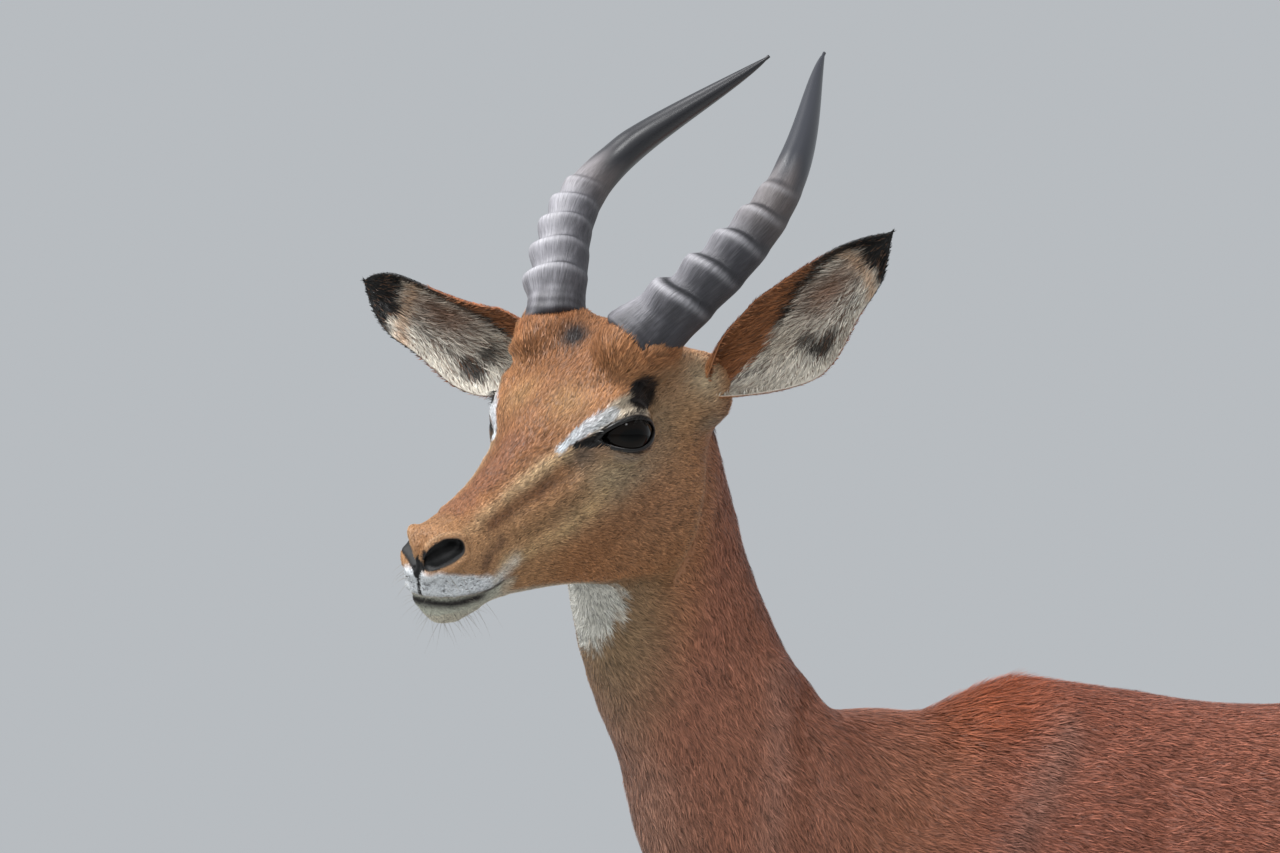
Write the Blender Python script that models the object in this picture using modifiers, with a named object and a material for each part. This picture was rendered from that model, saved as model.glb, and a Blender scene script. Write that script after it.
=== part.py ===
"""A life-size young male impala that stands still, with its head turned to its left.

The nose points to -X, the animal's left is -Y, and the floor is at Z = 0. All flesh is modelled whole, from smooth
tubes along the bones, and then parted by thin cuts into head, neck, trunk and legs. Horns, ears, eyes, tail and
hooves are made one by one and fitted to it.
"""

import math

import bmesh
import bpy
import numpy as np
from mathutils import Matrix, Vector

for old in list(bpy.data.objects):
    bpy.data.objects.remove(old, do_unlink=True)

# Driving dimensions, in metres unless the name says otherwise
MM = 0.001
WITHERS_HEIGHT = 0.880
GAP = 0.0003            # left between pieces that touch
FLESH_VOXEL = 0.004     # grain of the flesh before it is thinned
SMOOTH_PASSES = 10

HEAD_CENTRE = Vector((-0.319, -0.085, 1.038))   # between the eyes
HEAD_TURN = math.radians(27)    # to the animal's left
HEAD_DROP = math.radians(25)    # nose down
HEAD_LEAN = math.radians(8)     # left side down

EYE_RADIUS = 18.0 * MM
EYE_SEAT = (22.0, 41.0, 8.0)    # forward, outward and up from the head's centre, millimetres
EAR_THICKNESS = 3.2 * MM

FOOT_SPREAD = 0.070     # from the middle plane to each foot
FRONT_FOOT_X = -0.046
HIND_FOOT_X = 0.592
CLAW_LENGTH = 0.050
CLAW_WIDTH = 0.0185
CORONET_HEIGHT = 0.031  # of the hoof's top edge, over the middle of the foot
CORONET_SLOPE = 0.28    # the top edge falls this much for each metre backwards

COLOURS = {
    "coat": (0.36, 0.13, 0.055, 1.0),
    "horn": (0.045, 0.045, 0.052, 1.0),
    "hoof": (0.020, 0.018, 0.017, 1.0),
    "eye": (0.010, 0.006, 0.004, 1.0),
}
ROUGHNESS = {"coat": 0.75, "horn": 0.35, "hoof": 0.45, "eye": 0.06}

# Frames: columns are forward, left and up
BODY_FRAME = Matrix(((-1, 0, 0), (0, -1, 0), (0, 0, 1))).to_4x4()


def head_frame():
    """Turn, drop and lean of the head as one matrix, set at the head's centre."""
    turned = Vector((-math.cos(HEAD_TURN), -math.sin(HEAD_TURN), 0))
    forward = turned * math.cos(HEAD_DROP) - Vector((0, 0, 1)) * math.sin(HEAD_DROP)
    level_left = Vector((0, 0, 1)).cross(turned)
    level_up = forward.cross(level_left)
    left = level_left * math.cos(HEAD_LEAN) - level_up * math.sin(HEAD_LEAN)
    up = forward.cross(left)
    frame = Matrix((forward, left, up)).transposed().to_4x4()
    frame.translation = HEAD_CENTRE
    return frame


HEAD_FRAME = head_frame()


def new_collection(name):
    collection = bpy.data.collections.new(name)
    bpy.context.scene.collection.children.link(collection)
    return collection


IMPALA = new_collection("impala")
GUIDES = new_collection("guides")


def finish_material(name):
    """One Principled material for each kind of surface."""
    material = bpy.data.materials.get(name)
    if material is None:
        material = bpy.data.materials.new(name)
        material.use_nodes = True
        shader = material.node_tree.nodes["Principled BSDF"]
        shader.inputs["Base Color"].default_value = COLOURS[name]
        shader.inputs["Roughness"].default_value = ROUGHNESS[name]
        shader.inputs["Metallic"].default_value = 0.0
    return material


def new_object(name, mesh, finish, collection=IMPALA):
    mesh.materials.clear()
    mesh.materials.append(finish_material(finish))
    piece = bpy.data.objects.new(name, mesh)
    collection.objects.link(piece)
    return piece


def flow(stations, count):
    """Rows read at even steps from a smooth curve through the stations; the first three columns give its length."""
    knots = np.array(stations, float)
    runs = np.linalg.norm(np.diff(knots[:, :3], axis=0), axis=1)
    place = np.concatenate([[0.0], np.cumsum(runs)])
    slope = np.gradient(knots, place, axis=0)
    wanted = np.linspace(0.0, place[-1], count)
    left = np.clip(np.searchsorted(place, wanted, side="right") - 1, 0, len(place) - 2)
    span = (place[left + 1] - place[left])[:, None]
    t = (wanted - place[left])[:, None] / span
    return (
        (2 * t**3 - 3 * t**2 + 1) * knots[left]
        + (t**3 - 2 * t**2 + t) * span * slope[left]
        + (3 * t**2 - 2 * t**3) * knots[left + 1]
        + (t**3 - t**2) * span * slope[left + 1]
    )


def mesh_from_rings(name, rings):
    """A closed tube through rings of points, with a fan of faces on each end."""
    mesh = bmesh.new()
    rows = [[mesh.verts.new(point) for point in ring] for ring in rings]
    count = len(rows[0])
    for low, high in zip(rows, rows[1:]):
        for i in range(count):
            j = (i + 1) % count
            mesh.faces.new((low[i], low[j], high[j], high[i]))
    for row in (rows[0], rows[-1]):
        middle = mesh.verts.new(sum((v.co for v in row), Vector()) / count)
        for i in range(count):
            mesh.faces.new((row[i], row[(i + 1) % count], middle))
    bmesh.ops.recalc_face_normals(mesh, faces=mesh.faces)
    made = bpy.data.meshes.new(name)
    mesh.to_mesh(made)
    mesh.free()
    return made


def rounded(angle, half_width, half_height, power):
    """A point on an oval; power 2 is an ellipse, more is squarer, less is pointed."""
    c, s = math.cos(angle), math.sin(angle)
    across = math.copysign(abs(c) ** (2 / power), c) * half_width
    upward = math.copysign(abs(s) ** (2 / power), s) * half_height
    return across, upward


def barrel(name, stations, frame, unit=1.0, count=48, sides=32):
    """A form along the frame's forward axis.

    A station is forward, top, bottom, height of the widest place, half width, and how square it is above and below.
    """
    rows = flow([(s[0], 0, 0, *s[1:]) for s in stations], count)
    rings = []
    for forward, _, _, top, bottom, widest, half_width, above, below in rows:
        ring = []
        for i in range(sides):
            angle = math.tau * i / sides
            is_top = math.sin(angle) >= 0
            reach = top - widest if is_top else widest - bottom
            across, upward = rounded(angle, half_width, reach, above if is_top else below)
            ring.append(frame @ (Vector((forward, across, widest + upward)) * unit))
        rings.append(ring)
    return mesh_from_rings(name, rings)


def limb(name, stations, side=1, frame=None, unit=1.0, count=56, sides=20):
    """A tube along a path; a station is x, y, z, half depth fore and aft, and half width.

    Y grows outward, and side is +1 for the left of the animal and -1 for the right.
    """
    frame = frame or Matrix.Identity(4)
    rows = flow(stations, count)
    path = rows[:, :3]
    heading = np.gradient(path, axis=0)
    rings = []
    for (x, y, z, depth, width), along in zip(rows, heading):
        along = Vector(along).normalized()
        across = Vector((0, 1, 0))
        across = (across - along * across.dot(along)).normalized()
        fore = along.cross(across)
        ring = []
        for i in range(sides):
            angle = math.tau * i / sides
            point = Vector((x, y, z)) + fore * math.cos(angle) * depth + across * math.sin(angle) * width
            point.y *= side
            ring.append(frame @ (point * unit))
        rings.append(ring)
    return mesh_from_rings(name, rings)


def ball(name, centre, radii, frame, unit=1.0, lean=(0, 0, 0)):
    """An egg form for a muscle or a bony boss, in the frame's own directions."""
    mesh = bmesh.new()
    bmesh.ops.create_uvsphere(mesh, u_segments=24, v_segments=14, radius=1.0)
    turn = Matrix.LocRotScale(Vector(centre) * unit, Matrix.Rotation(math.radians(lean[0]), 3, "X")
                              @ Matrix.Rotation(math.radians(lean[1]), 3, "Y")
                              @ Matrix.Rotation(math.radians(lean[2]), 3, "Z"), Vector(radii) * unit)
    bmesh.ops.transform(mesh, matrix=frame @ turn, verts=mesh.verts)
    bmesh.ops.recalc_face_normals(mesh, faces=mesh.faces)
    made = bpy.data.meshes.new(name)
    mesh.to_mesh(made)
    mesh.free()
    return made


OUTWARD_BODY = Matrix.Scale(-1, 4, Vector((0, 1, 0)))   # limb stations count Y outward on the left, which is -Y


def trunk_form():
    """Chest, belly, loin and rump. Forward is measured from the withers."""
    top = WITHERS_HEIGHT
    return barrel("trunk", (
        (0.234, 0.712, 0.650, 0.680, 0.028, 2.0, 2.0),
        (0.214, 0.756, 0.606, 0.672, 0.056, 2.0, 2.0),
        (0.165, 0.800, 0.560, 0.662, 0.082, 1.9, 2.0),
        (0.095, top - 0.034, 0.528, 0.662, 0.096, 1.8, 2.0),
        (0.060, top - 0.026, 0.520, 0.662, 0.099, 1.75, 2.0),
        (0.000, top - 0.006, 0.514, 0.665, 0.102, 1.7, 2.0),
        (-0.060, top - 0.012, 0.514, 0.665, 0.110, 1.75, 2.0),
        (-0.150, top - 0.025, 0.522, 0.672, 0.121, 1.9, 2.0),
        (-0.250, top - 0.023, 0.537, 0.680, 0.125, 2.0, 2.0),
        (-0.350, top - 0.014, 0.564, 0.700, 0.117, 2.0, 2.0),
        (-0.440, top - 0.005, 0.597, 0.725, 0.107, 2.1, 2.1),
        (-0.520, top - 0.005, 0.627, 0.745, 0.107, 2.2, 2.1),
        (-0.590, top - 0.022, 0.642, 0.745, 0.098, 2.2, 2.1),
        (-0.636, top - 0.054, 0.657, 0.740, 0.074, 2.1, 2.1),
        (-0.660, top - 0.100, 0.690, 0.735, 0.040, 2.0, 2.0),
    ), BODY_FRAME)


NECK_STATIONS = (
    (-0.030, 0.000, 0.720, 0.125, 0.080),
    (-0.110, 0.000, 0.750, 0.112, 0.075),
    (-0.180, 0.002, 0.795, 0.086, 0.064),
    (-0.213, 0.008, 0.846, 0.066, 0.054),
    (-0.237, 0.016, 0.892, 0.063, 0.049),
    (-0.254, 0.028, 0.935, 0.059, 0.047),
    (-0.268, 0.041, 0.985, 0.055, 0.046),
    (-0.278, 0.052, 1.030, 0.050, 0.043),
)


def neck_form():
    return limb("neck", NECK_STATIONS, frame=OUTWARD_BODY, sides=28)


FRONT_LEG_STATIONS = (
    (-0.012, 0.028, 0.830, 0.034, 0.020),
    (-0.045, 0.058, 0.750, 0.066, 0.032),
    (-0.070, 0.069, 0.665, 0.084, 0.036),
    (-0.045, 0.075, 0.590, 0.074, 0.036),
    (-0.018, 0.077, 0.530, 0.049, 0.030),
    (-0.012, 0.077, 0.465, 0.034, 0.025),
    (-0.015, 0.074, 0.385, 0.025, 0.0205),
    (-0.018, 0.072, 0.330, 0.0225, 0.0215),
    (-0.018, 0.071, 0.296, 0.0220, 0.0210),
    (-0.014, 0.070, 0.262, 0.0170, 0.0155),
    (-0.012, 0.070, 0.200, 0.0150, 0.0130),
    (-0.012, 0.070, 0.140, 0.0150, 0.0135),
    (-0.013, 0.070, 0.106, 0.0190, 0.0175),
    (-0.021, 0.070, 0.080, 0.0165, 0.0165),
    (-0.034, 0.070, 0.055, 0.0175, 0.0175),
    (-0.045, 0.070, 0.030, 0.0215, 0.0190),
    (-0.048, 0.070, 0.018, 0.0215, 0.0190),
)

HIND_LEG_STATIONS = (
    (0.500, 0.056, 0.805, 0.080, 0.040),
    (0.518, 0.072, 0.738, 0.116, 0.048),
    (0.525, 0.080, 0.670, 0.120, 0.050),
    (0.533, 0.085, 0.602, 0.104, 0.045),
    (0.556, 0.085, 0.533, 0.078, 0.035),
    (0.590, 0.082, 0.467, 0.052, 0.026),
    (0.620, 0.078, 0.413, 0.034, 0.021),
    (0.640, 0.075, 0.372, 0.0275, 0.0195),
    (0.646, 0.074, 0.338, 0.0240, 0.0185),
    (0.643, 0.072, 0.298, 0.0180, 0.0150),
    (0.637, 0.071, 0.225, 0.0155, 0.0130),
    (0.631, 0.070, 0.155, 0.0155, 0.0135),
    (0.628, 0.070, 0.114, 0.0195, 0.0175),
    (0.619, 0.070, 0.086, 0.0170, 0.0165),
    (0.605, 0.070, 0.058, 0.0175, 0.0175),
    (0.594, 0.070, 0.031, 0.0215, 0.0190),
    (0.591, 0.070, 0.018, 0.0215, 0.0190),
)

HOCK_TENDON_STATIONS = (
    (0.600, 0.086, 0.590, 0.040, 0.026),
    (0.628, 0.083, 0.515, 0.023, 0.015),
    (0.651, 0.079, 0.450, 0.0145, 0.0105),
    (0.665, 0.0765, 0.402, 0.0130, 0.0115),
    (0.657, 0.075, 0.366, 0.0120, 0.0120),
)


def leg_forms(side):
    """Shoulder to coronet, hip to coronet, and the tendon down to the point of the hock."""
    forms = [
        limb("front", FRONT_LEG_STATIONS, side, OUTWARD_BODY),
        limb("hind", HIND_LEG_STATIONS, side, OUTWARD_BODY),
        limb("tendon", HOCK_TENDON_STATIONS, side, OUTWARD_BODY, count=24, sides=12),
    ]
    # the point of the shoulder, the muscle behind the upper arm, and the knee
    forms.append(ball("shoulder", (0.150, 0.056 * side, 0.655), (0.058, 0.034, 0.066), BODY_FRAME))
    forms.append(ball("upper_arm", (0.018, 0.074 * side, 0.655), (0.085, 0.036, 0.110), BODY_FRAME, lean=(0, -20, 0)))
    forms.append(ball("stifle", (-0.455, 0.086 * side, 0.625), (0.052, 0.034, 0.062), BODY_FRAME, lean=(0, -18, 0)))
    forms.append(ball("buttock", (-0.604, 0.060 * side, 0.705), (0.052, 0.044, 0.105), BODY_FRAME))
    return forms


def head_forms():
    """The skull's box, then the bosses and muscles over it. Millimetres from the head's centre."""
    forms = [barrel("skull", (
        (179, -6, -32, -18, 8, 2.0, 2.0),
        (174, 1, -42, -20, 16, 2.1, 2.0),
        (163, 4, -50, -25, 22, 2.2, 2.1),
        (147, 5, -55, -28, 25, 2.1, 2.1),
        (124, 7, -59, -30, 26, 2.0, 2.1),
        (98, 12, -65, -31, 30, 1.9, 2.1),
        (72, 22, -74, -29, 37, 1.9, 2.1),
        (44, 36, -86, -24, 44, 2.0, 2.1),
        (14, 49, -96, -18, 47, 2.1, 2.1),
        (-16, 56, -98, -14, 47, 2.2, 2.1),
        (-44, 52, -88, -12, 45, 2.2, 2.0),
        (-68, 38, -70, -12, 38, 2.0, 2.0),
        (-84, 14, -44, -12, 22, 2.0, 2.0),
    ), HEAD_FRAME, MM)]
    forms.append(barrel("lower_jaw", (
        (176, -44, -52, -48, 7, 2.0, 2.0),
        (169, -40, -60, -50, 14, 2.0, 2.1),
        (152, -38, -65, -52, 17, 2.0, 2.1),
        (128, -38, -65, -53, 17, 2.0, 2.0),
        (95, -45, -75, -60, 20, 2.0, 2.0),
        (55, -50, -90, -68, 26, 2.0, 2.0),
        (20, -55, -106, -75, 36, 2.0, 2.2),
        (-12, -55, -112, -80, 40, 2.0, 2.2),
        (-34, -60, -100, -80, 36, 2.0, 2.0),
    ), HEAD_FRAME, MM))
    for side in (1, -1):
        # brow and eye socket, cheek muscle, cheek bone, foot of the horn, ear root, nostril wing, lip
        for name, centre, radii, lean in (
            ("socket", (22, 34, 6), (37, 20, 28), (0, 0, 10)),
            ("brow", (14, 34, 25), (28, 16, 14), (0, 10, 10)),
            ("cheek", (-10, 33, -62), (46, 17, 48), (0, -20, 6)),
            ("cheek_bone", (54, 32, -20), (46, 11, 12), (0, 12, 14)),
            ("horn_foot", (-22, 36, 45), (29, 24, 18), (0, 8, 0)),
            ("ear_root", (-54, 42, 4), (26, 20, 26), (0, 0, 0)),
            ("nostril_wing", (163, 14, -11), (18, 11, 13), (0, 10, 10)),
            ("upper_lip", (153, 12, -31), (26, 14, 14), (0, 8, 6)),
        ):
            seat = (centre[0], centre[1] * side, centre[2])
            turn = (lean[0], lean[1], -lean[2] * side)
            forms.append(ball(name, seat, radii, HEAD_FRAME, MM, turn))
    forms.append(ball("chin", (157, 0, -52), (21, 15, 12), HEAD_FRAME, MM))
    return forms


def evaluated_mesh(piece):
    """The piece's mesh with its modifiers, as a mesh of its own."""
    graph = bpy.context.evaluated_depsgraph_get()
    return bpy.data.meshes.new_from_object(piece.evaluated_get(graph))


def whole_flesh():
    """Every form of flesh in one skin, without its crossings."""
    forms = [trunk_form(), neck_form(), *leg_forms(1), *leg_forms(-1), *head_forms()]
    joined = bmesh.new()
    for form in forms:
        joined.from_mesh(form)
    mesh = bpy.data.meshes.new("flesh")
    joined.to_mesh(mesh)
    joined.free()
    body = new_object("flesh_guide", mesh, "coat", GUIDES)
    remesh = body.modifiers.new("One skin", "REMESH")
    remesh.mode = "VOXEL"
    remesh.voxel_size = FLESH_VOXEL
    relax = body.modifiers.new("Relax", "SMOOTH")
    relax.factor = 0.5
    relax.iterations = SMOOTH_PASSES
    body.data = evaluated_mesh(body)
    body.modifiers.clear()
    body.hide_render = True
    body.display_type = "WIRE"
    return body


def cut_away(mesh, point, normal):
    """Everything on the normal's side goes, and the cut is closed flat."""
    bmesh.ops.bisect_plane(
        mesh, geom=[*mesh.verts, *mesh.edges, *mesh.faces], dist=1e-6,
        plane_co=point, plane_no=normal, clear_outer=True,
    )
    open_edges = [edge for edge in mesh.edges if edge.is_boundary]
    if open_edges:
        bmesh.ops.holes_fill(mesh, edges=open_edges, sides=0)


def largest_body(mesh):
    """Keeps the island with the most points."""
    unseen = set(mesh.verts)
    islands = []
    while unseen:
        reached = {unseen.pop()}
        edge_of_island = list(reached)
        while edge_of_island:
            vertex = edge_of_island.pop()
            for edge in vertex.link_edges:
                other = edge.other_vert(vertex)
                if other in unseen:
                    unseen.discard(other)
                    reached.add(other)
                    edge_of_island.append(other)
        islands.append(reached)
    islands.sort(key=len)
    for island in islands[:-1]:
        bmesh.ops.delete(mesh, geom=list(island), context="VERTS")


THINNING_MARGIN = 0.008     # flesh kept past each cut while the faces are thinned


def flesh_piece(name, body, cuts, triangles):
    """A length of the body between cuts; a cut is a point and the direction that goes."""
    mesh = bmesh.new()
    mesh.from_mesh(body.data)
    for point, normal in cuts:
        cut_away(mesh, point + normal * THINNING_MARGIN, normal)
    largest_body(mesh)
    bmesh.ops.triangulate(mesh, faces=mesh.faces)
    rough = bpy.data.meshes.new(name)
    mesh.to_mesh(rough)
    mesh.free()
    piece = new_object(name, rough, "coat")
    thin = piece.modifiers.new("Fewer faces", "DECIMATE")
    thin.ratio = triangles / len(rough.polygons)
    thinned = evaluated_mesh(piece)
    mesh = bmesh.new()
    mesh.from_mesh(thinned)
    for point, normal in cuts:
        cut_away(mesh, point - normal * GAP / 2, normal)
    largest_body(mesh)
    bmesh.ops.triangulate(mesh, faces=mesh.faces)
    bmesh.ops.dissolve_degenerate(mesh, dist=1e-5, edges=mesh.edges)
    bmesh.ops.triangulate(mesh, faces=mesh.faces)
    bmesh.ops.recalc_face_normals(mesh, faces=mesh.faces)
    mesh.to_mesh(rough)
    mesh.free()
    piece.modifiers.clear()
    return piece


def coronet_cut(foot_x):
    """The sloping plane where a leg ends and its hoof begins."""
    return Vector((foot_x, 0, CORONET_HEIGHT)), Vector((-CORONET_SLOPE, 0, -1)).normalized()


def head_at(x, y, z):
    return HEAD_FRAME @ (Vector((x, y, z)) * MM)


def flesh_pieces(body):
    """Head, neck, trunk and four legs."""
    throat = (head_at(-62, 0, -40), (HEAD_FRAME.to_3x3() @ Vector((-0.86, 0, -0.5))).normalized())
    breast = (Vector((-0.150, 0, 0.800)), Vector((-0.72, 0, 0.69)).normalized())
    leg_top = (Vector((0, 0, 0.505)), Vector((0, 0, -1)))

    def opposite(cut):
        return cut[0], -cut[1]

    pieces = {
        "head": flesh_piece("head", body, [throat], 1950),
        "neck": flesh_piece("neck", body, [opposite(throat), opposite(breast)], 440),
        "trunk": flesh_piece("trunk", body, [breast, leg_top], 1250),
    }
    for which, middle, foot_x in (("front", -1, FRONT_FOOT_X), ("hind", 1, HIND_FOOT_X)):
        for side_name, side in (("left", -1), ("right", 1)):
            name = f"leg_{which}_{side_name}"
            cuts = [
                opposite(leg_top),
                (Vector((0.28, 0, 0)), Vector((-middle, 0, 0))),
                (Vector((0, 0, 0)), Vector((0, -side, 0))),
                coronet_cut(foot_x),
            ]
            pieces[name] = flesh_piece(name, body, cuts, 360)
    return pieces


def claw(name, foot_x, foot_y, outward):
    """One of a foot's two claws: a pointed, sloping case of horn with a flat sole."""
    gap_between = 0.0012
    rings = []
    for level in (0.0, 0.12, 0.5, 1.0):
        length = CLAW_LENGTH * (1.0 - 0.20 * level)
        width = CLAW_WIDTH * (1.0 - 0.06 * level)
        ring = []
        for i in range(12):
            angle = math.tau * i / 12
            along = -math.cos(angle)            # -1 at the toe
            breadth = abs(math.sin(angle)) ** 0.8
            taper = 1.0 if along > -0.2 else 1.0 - 0.42 * ((-0.2 - along) / 0.8) ** 1.4
            bulge = breadth * taper * width
            across = bulge if math.sin(angle) > 1e-6 else 0.0
            x = foot_x - 0.006 + along * length / 2 + 0.006 * level
            top = CORONET_HEIGHT - (x - foot_x) * CORONET_SLOPE - GAP
            inset = 0.0014 if level == 0.0 else 0.0
            y = foot_y + outward * (gap_between + max(across - inset, 0.0))
            ring.append(Vector((x, y, max(level * top, 0.0))))
        rings.append(ring)
    return new_object(name, mesh_from_rings(name, rings), "hoof")


def hooves():
    for which, foot_x in (("front", FRONT_FOOT_X), ("hind", HIND_FOOT_X)):
        for side_name, side in (("left", -1), ("right", 1)):
            for part, outward in (("outer", side), ("inner", -side)):
                claw(f"hoof_{which}_{side_name}_{part}", foot_x, FOOT_SPREAD * side, outward)


# Horns: a lyre that leaves the brow upward, swings out and back, and closes at the tips.
# Millimetres in the directions of the head; the two differ a little, as on a living ram.
HORN_LEFT = {"root": (-7, 33, 37), "thick": 22.5, "back": 241, "rise": 108, "rise_power": 0.77,
             "bow": 0.0, "spread": 45, "spread_late": 1.0, "close": 5}
HORN_RIGHT = {"root": (-14, 32, 40), "thick": 20.5, "back": 239, "rise": 94, "rise_power": 0.68,
              "bow": 4.0, "spread": 47, "spread_late": 1.15, "close": 8}
HORN_BACK_POWER = 1.13     # the sweep back starts slowly
HORN_SWELL_POWER = 1.2     # how narrow the lyre's outward swell is
HORN_TAPER_POWER = 0.75
HORN_TIP = 1.2
HORN_RINGS = 6
RING_FIRST, RING_LAST = 0.14, 0.60   # share of the horn's length that is ringed


def horn_rows(form, count):
    """The lyre's centre line and radius: back, up, and out and in again."""
    rows = []
    for step in range(count):
        t = step / (count - 1)
        swell = max(0.0, math.sin(math.pi * t ** form["spread_late"])) ** HORN_SWELL_POWER
        x, y, z = form["root"]
        rows.append((
            x - form["back"] * t**HORN_BACK_POWER,
            y + form["spread"] * swell - form["close"] * t,
            z + form["rise"] * t ** form["rise_power"] + form["bow"] * math.sin(math.tau * t),
            max(HORN_TIP, form["thick"] * (1 - t) ** HORN_TAPER_POWER),
        ))
    return np.array(rows)


def horn(name, form, side):
    """A tapering horn whose lower part is ringed; the rings stand out most in front."""
    rows = horn_rows(form, 32)
    path = rows[:, :3]
    heading = np.gradient(path, axis=0)
    run = np.concatenate([[0.0], np.cumsum(np.linalg.norm(np.diff(path, axis=0), axis=1))])
    share = run / run[-1]
    sides = 8
    rings = []
    for (x, y, z, radius), along, at in zip(rows, heading, share):
        along = Vector(along).normalized()
        across = Vector((0, 1, 0))
        across = (across - along * across.dot(along)).normalized()
        fore = across.cross(along)
        phase = (at - RING_FIRST) / (RING_LAST - RING_FIRST) * HORN_RINGS
        swell = 0.5 - 0.5 * math.cos(math.tau * phase) if 0 < phase < HORN_RINGS else 0.0
        ring = []
        for i in range(sides):
            angle = math.tau * i / sides
            reach = radius * (1 + 0.10 * swell)
            point = Vector((x, y, z)) + fore * math.cos(angle) * reach * 1.06 + across * math.sin(angle) * reach * 0.94
            point.y *= side
            ring.append(HEAD_FRAME @ (point * MM))
        rings.append(ring)
    return new_object(name, mesh_from_rings(name, rings), "horn")


# Ears: root, tip and the way the hollow faces, in the head's directions
EAR_LEFT = {"root": (-61, 45, 2), "tip": (-160, 135, 74), "facing": (0.66, 0.66, 0.10), "belly": 1}
EAR_RIGHT = {"root": (-58, -45, 5), "tip": (-21, -190, 60), "facing": (0.66, 0.50, 0.05), "belly": -1}
EAR_BELLY = 9.0         # the lower edge is the fuller one
EAR_HALF_WIDTH = 36.0   # millimetres, flattened out


def ear(name, ear_form):
    """A cupped leaf: a rolled funnel at the root, broad in the middle, and a blunt point."""
    root, tip = Vector(ear_form["root"]), Vector(ear_form["tip"])
    along = (tip - root).normalized()
    length = (tip - root).length
    facing = Vector(ear_form["facing"])
    facing = (facing - along * facing.dot(along)).normalized()
    across = along.cross(facing)
    rows, columns = 12, 8
    mesh = bmesh.new()
    grid = []
    for i in range(rows):
        share = i / (rows - 1)
        breadth = EAR_HALF_WIDTH * (0.50 + 0.62 * math.sin(math.pi * min(share * 0.92 + 0.02, 1.0)) ** 0.9 - 0.36 * share**3)
        if share > 0.72:
            breadth *= max(math.cos((share - 0.72) / 0.28 * math.pi / 2) ** 0.72, 0.06)
        roll = math.radians(150 - 100 * min(share / 0.40, 1.0) ** 0.8)   # how far each half wraps round
        radius = breadth / roll
        swell = math.sin(math.pi * share)
        middle = root + along * length * share + (across * EAR_BELLY * ear_form["belly"] - facing * 4.5) * swell
        line = []
        for j in range(columns):
            turn = roll * (2 * j / (columns - 1) - 1)
            point = middle + across * math.sin(turn) * radius + facing * radius * (1 - math.cos(turn))
            line.append(mesh.verts.new(HEAD_FRAME @ (point * MM)))
        grid.append(line)
    for low, high in zip(grid, grid[1:]):
        for j in range(columns - 1):
            mesh.faces.new((low[j], low[j + 1], high[j + 1], high[j]))
    made = bpy.data.meshes.new(name)
    mesh.to_mesh(made)
    mesh.free()
    shell = new_object(name, made, "coat")
    wall = shell.modifiers.new("Wall", "SOLIDIFY")
    wall.thickness = EAR_THICKNESS
    wall.offset = 0.0
    shell.data = evaluated_mesh(shell)
    shell.modifiers.clear()
    return shell


def eye(name, side):
    """A ball with a slightly fuller front, seated in its socket."""
    forward, outward, up = EYE_SEAT
    mesh = bmesh.new()
    bmesh.ops.create_uvsphere(mesh, u_segments=16, v_segments=9, radius=EYE_RADIUS)
    turn = Matrix.Rotation(math.radians(90), 4, "X")
    bmesh.ops.transform(mesh, matrix=HEAD_FRAME @ Matrix.Translation(Vector((forward, outward * side, up)) * MM) @ turn,
                        verts=mesh.verts)
    bmesh.ops.recalc_face_normals(mesh, faces=mesh.faces)
    made = bpy.data.meshes.new(name)
    mesh.to_mesh(made)
    mesh.free()
    return new_object(name, made, "eye")


def tail():
    """A slim dock with a fuller brush, hanging clear of the buttocks."""
    stations = (
        (0.640, 0.0, 0.826, 0.018, 0.020),
        (0.668, 0.0, 0.806, 0.016, 0.019),
        (0.692, 0.0, 0.768, 0.012, 0.017),
        (0.701, 0.0, 0.710, 0.0105, 0.017),
        (0.703, 0.0, 0.640, 0.0105, 0.018),
        (0.702, 0.0, 0.580, 0.0105, 0.018),
        (0.700, 0.0, 0.530, 0.008, 0.013),
        (0.699, 0.0, 0.500, 0.003, 0.004),
    )
    return new_object("tail", limb("tail", stations, frame=OUTWARD_BODY, count=16, sides=8), "coat")


def grown_copy(piece, by):
    """A guide the size of the piece, with every face moved out."""
    mesh = bmesh.new()
    mesh.from_mesh(piece.data)
    mesh.normal_update()
    for vertex in mesh.verts:
        vertex.co += vertex.normal * by * vertex.calc_shell_factor()
    made = bpy.data.meshes.new(piece.name + "_guide")
    mesh.to_mesh(made)
    mesh.free()
    guide = new_object(piece.name + "_guide", made, "coat", GUIDES)
    guide.hide_render = True
    guide.display_type = "WIRE"
    return guide


def trim(piece, cutter):
    """Takes the cutter's space out of the piece and keeps the largest body that is left."""
    cut = piece.modifiers.new("Trim", "BOOLEAN")
    cut.operation = "DIFFERENCE"
    cut.object = cutter
    trimmed = evaluated_mesh(piece)
    piece.modifiers.clear()
    mesh = bmesh.new()
    mesh.from_mesh(trimmed)
    bmesh.ops.triangulate(mesh, faces=mesh.faces)
    bmesh.ops.remove_doubles(mesh, verts=mesh.verts, dist=2e-6)
    largest_body(mesh)
    mesh.to_mesh(piece.data)
    mesh.free()


def centre_over_floor():
    """Moves everything so that the origin is on the floor, under the middle of the whole box."""
    corners = np.array([vertex.co[:] for piece in IMPALA.objects for vertex in piece.data.vertices])
    low, high = corners.min(axis=0), corners.max(axis=0)
    shift = Vector((-(low[0] + high[0]) / 2, -(low[1] + high[1]) / 2, -low[2]))
    for piece in IMPALA.objects:
        piece.data.transform(Matrix.Translation(shift))


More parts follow.
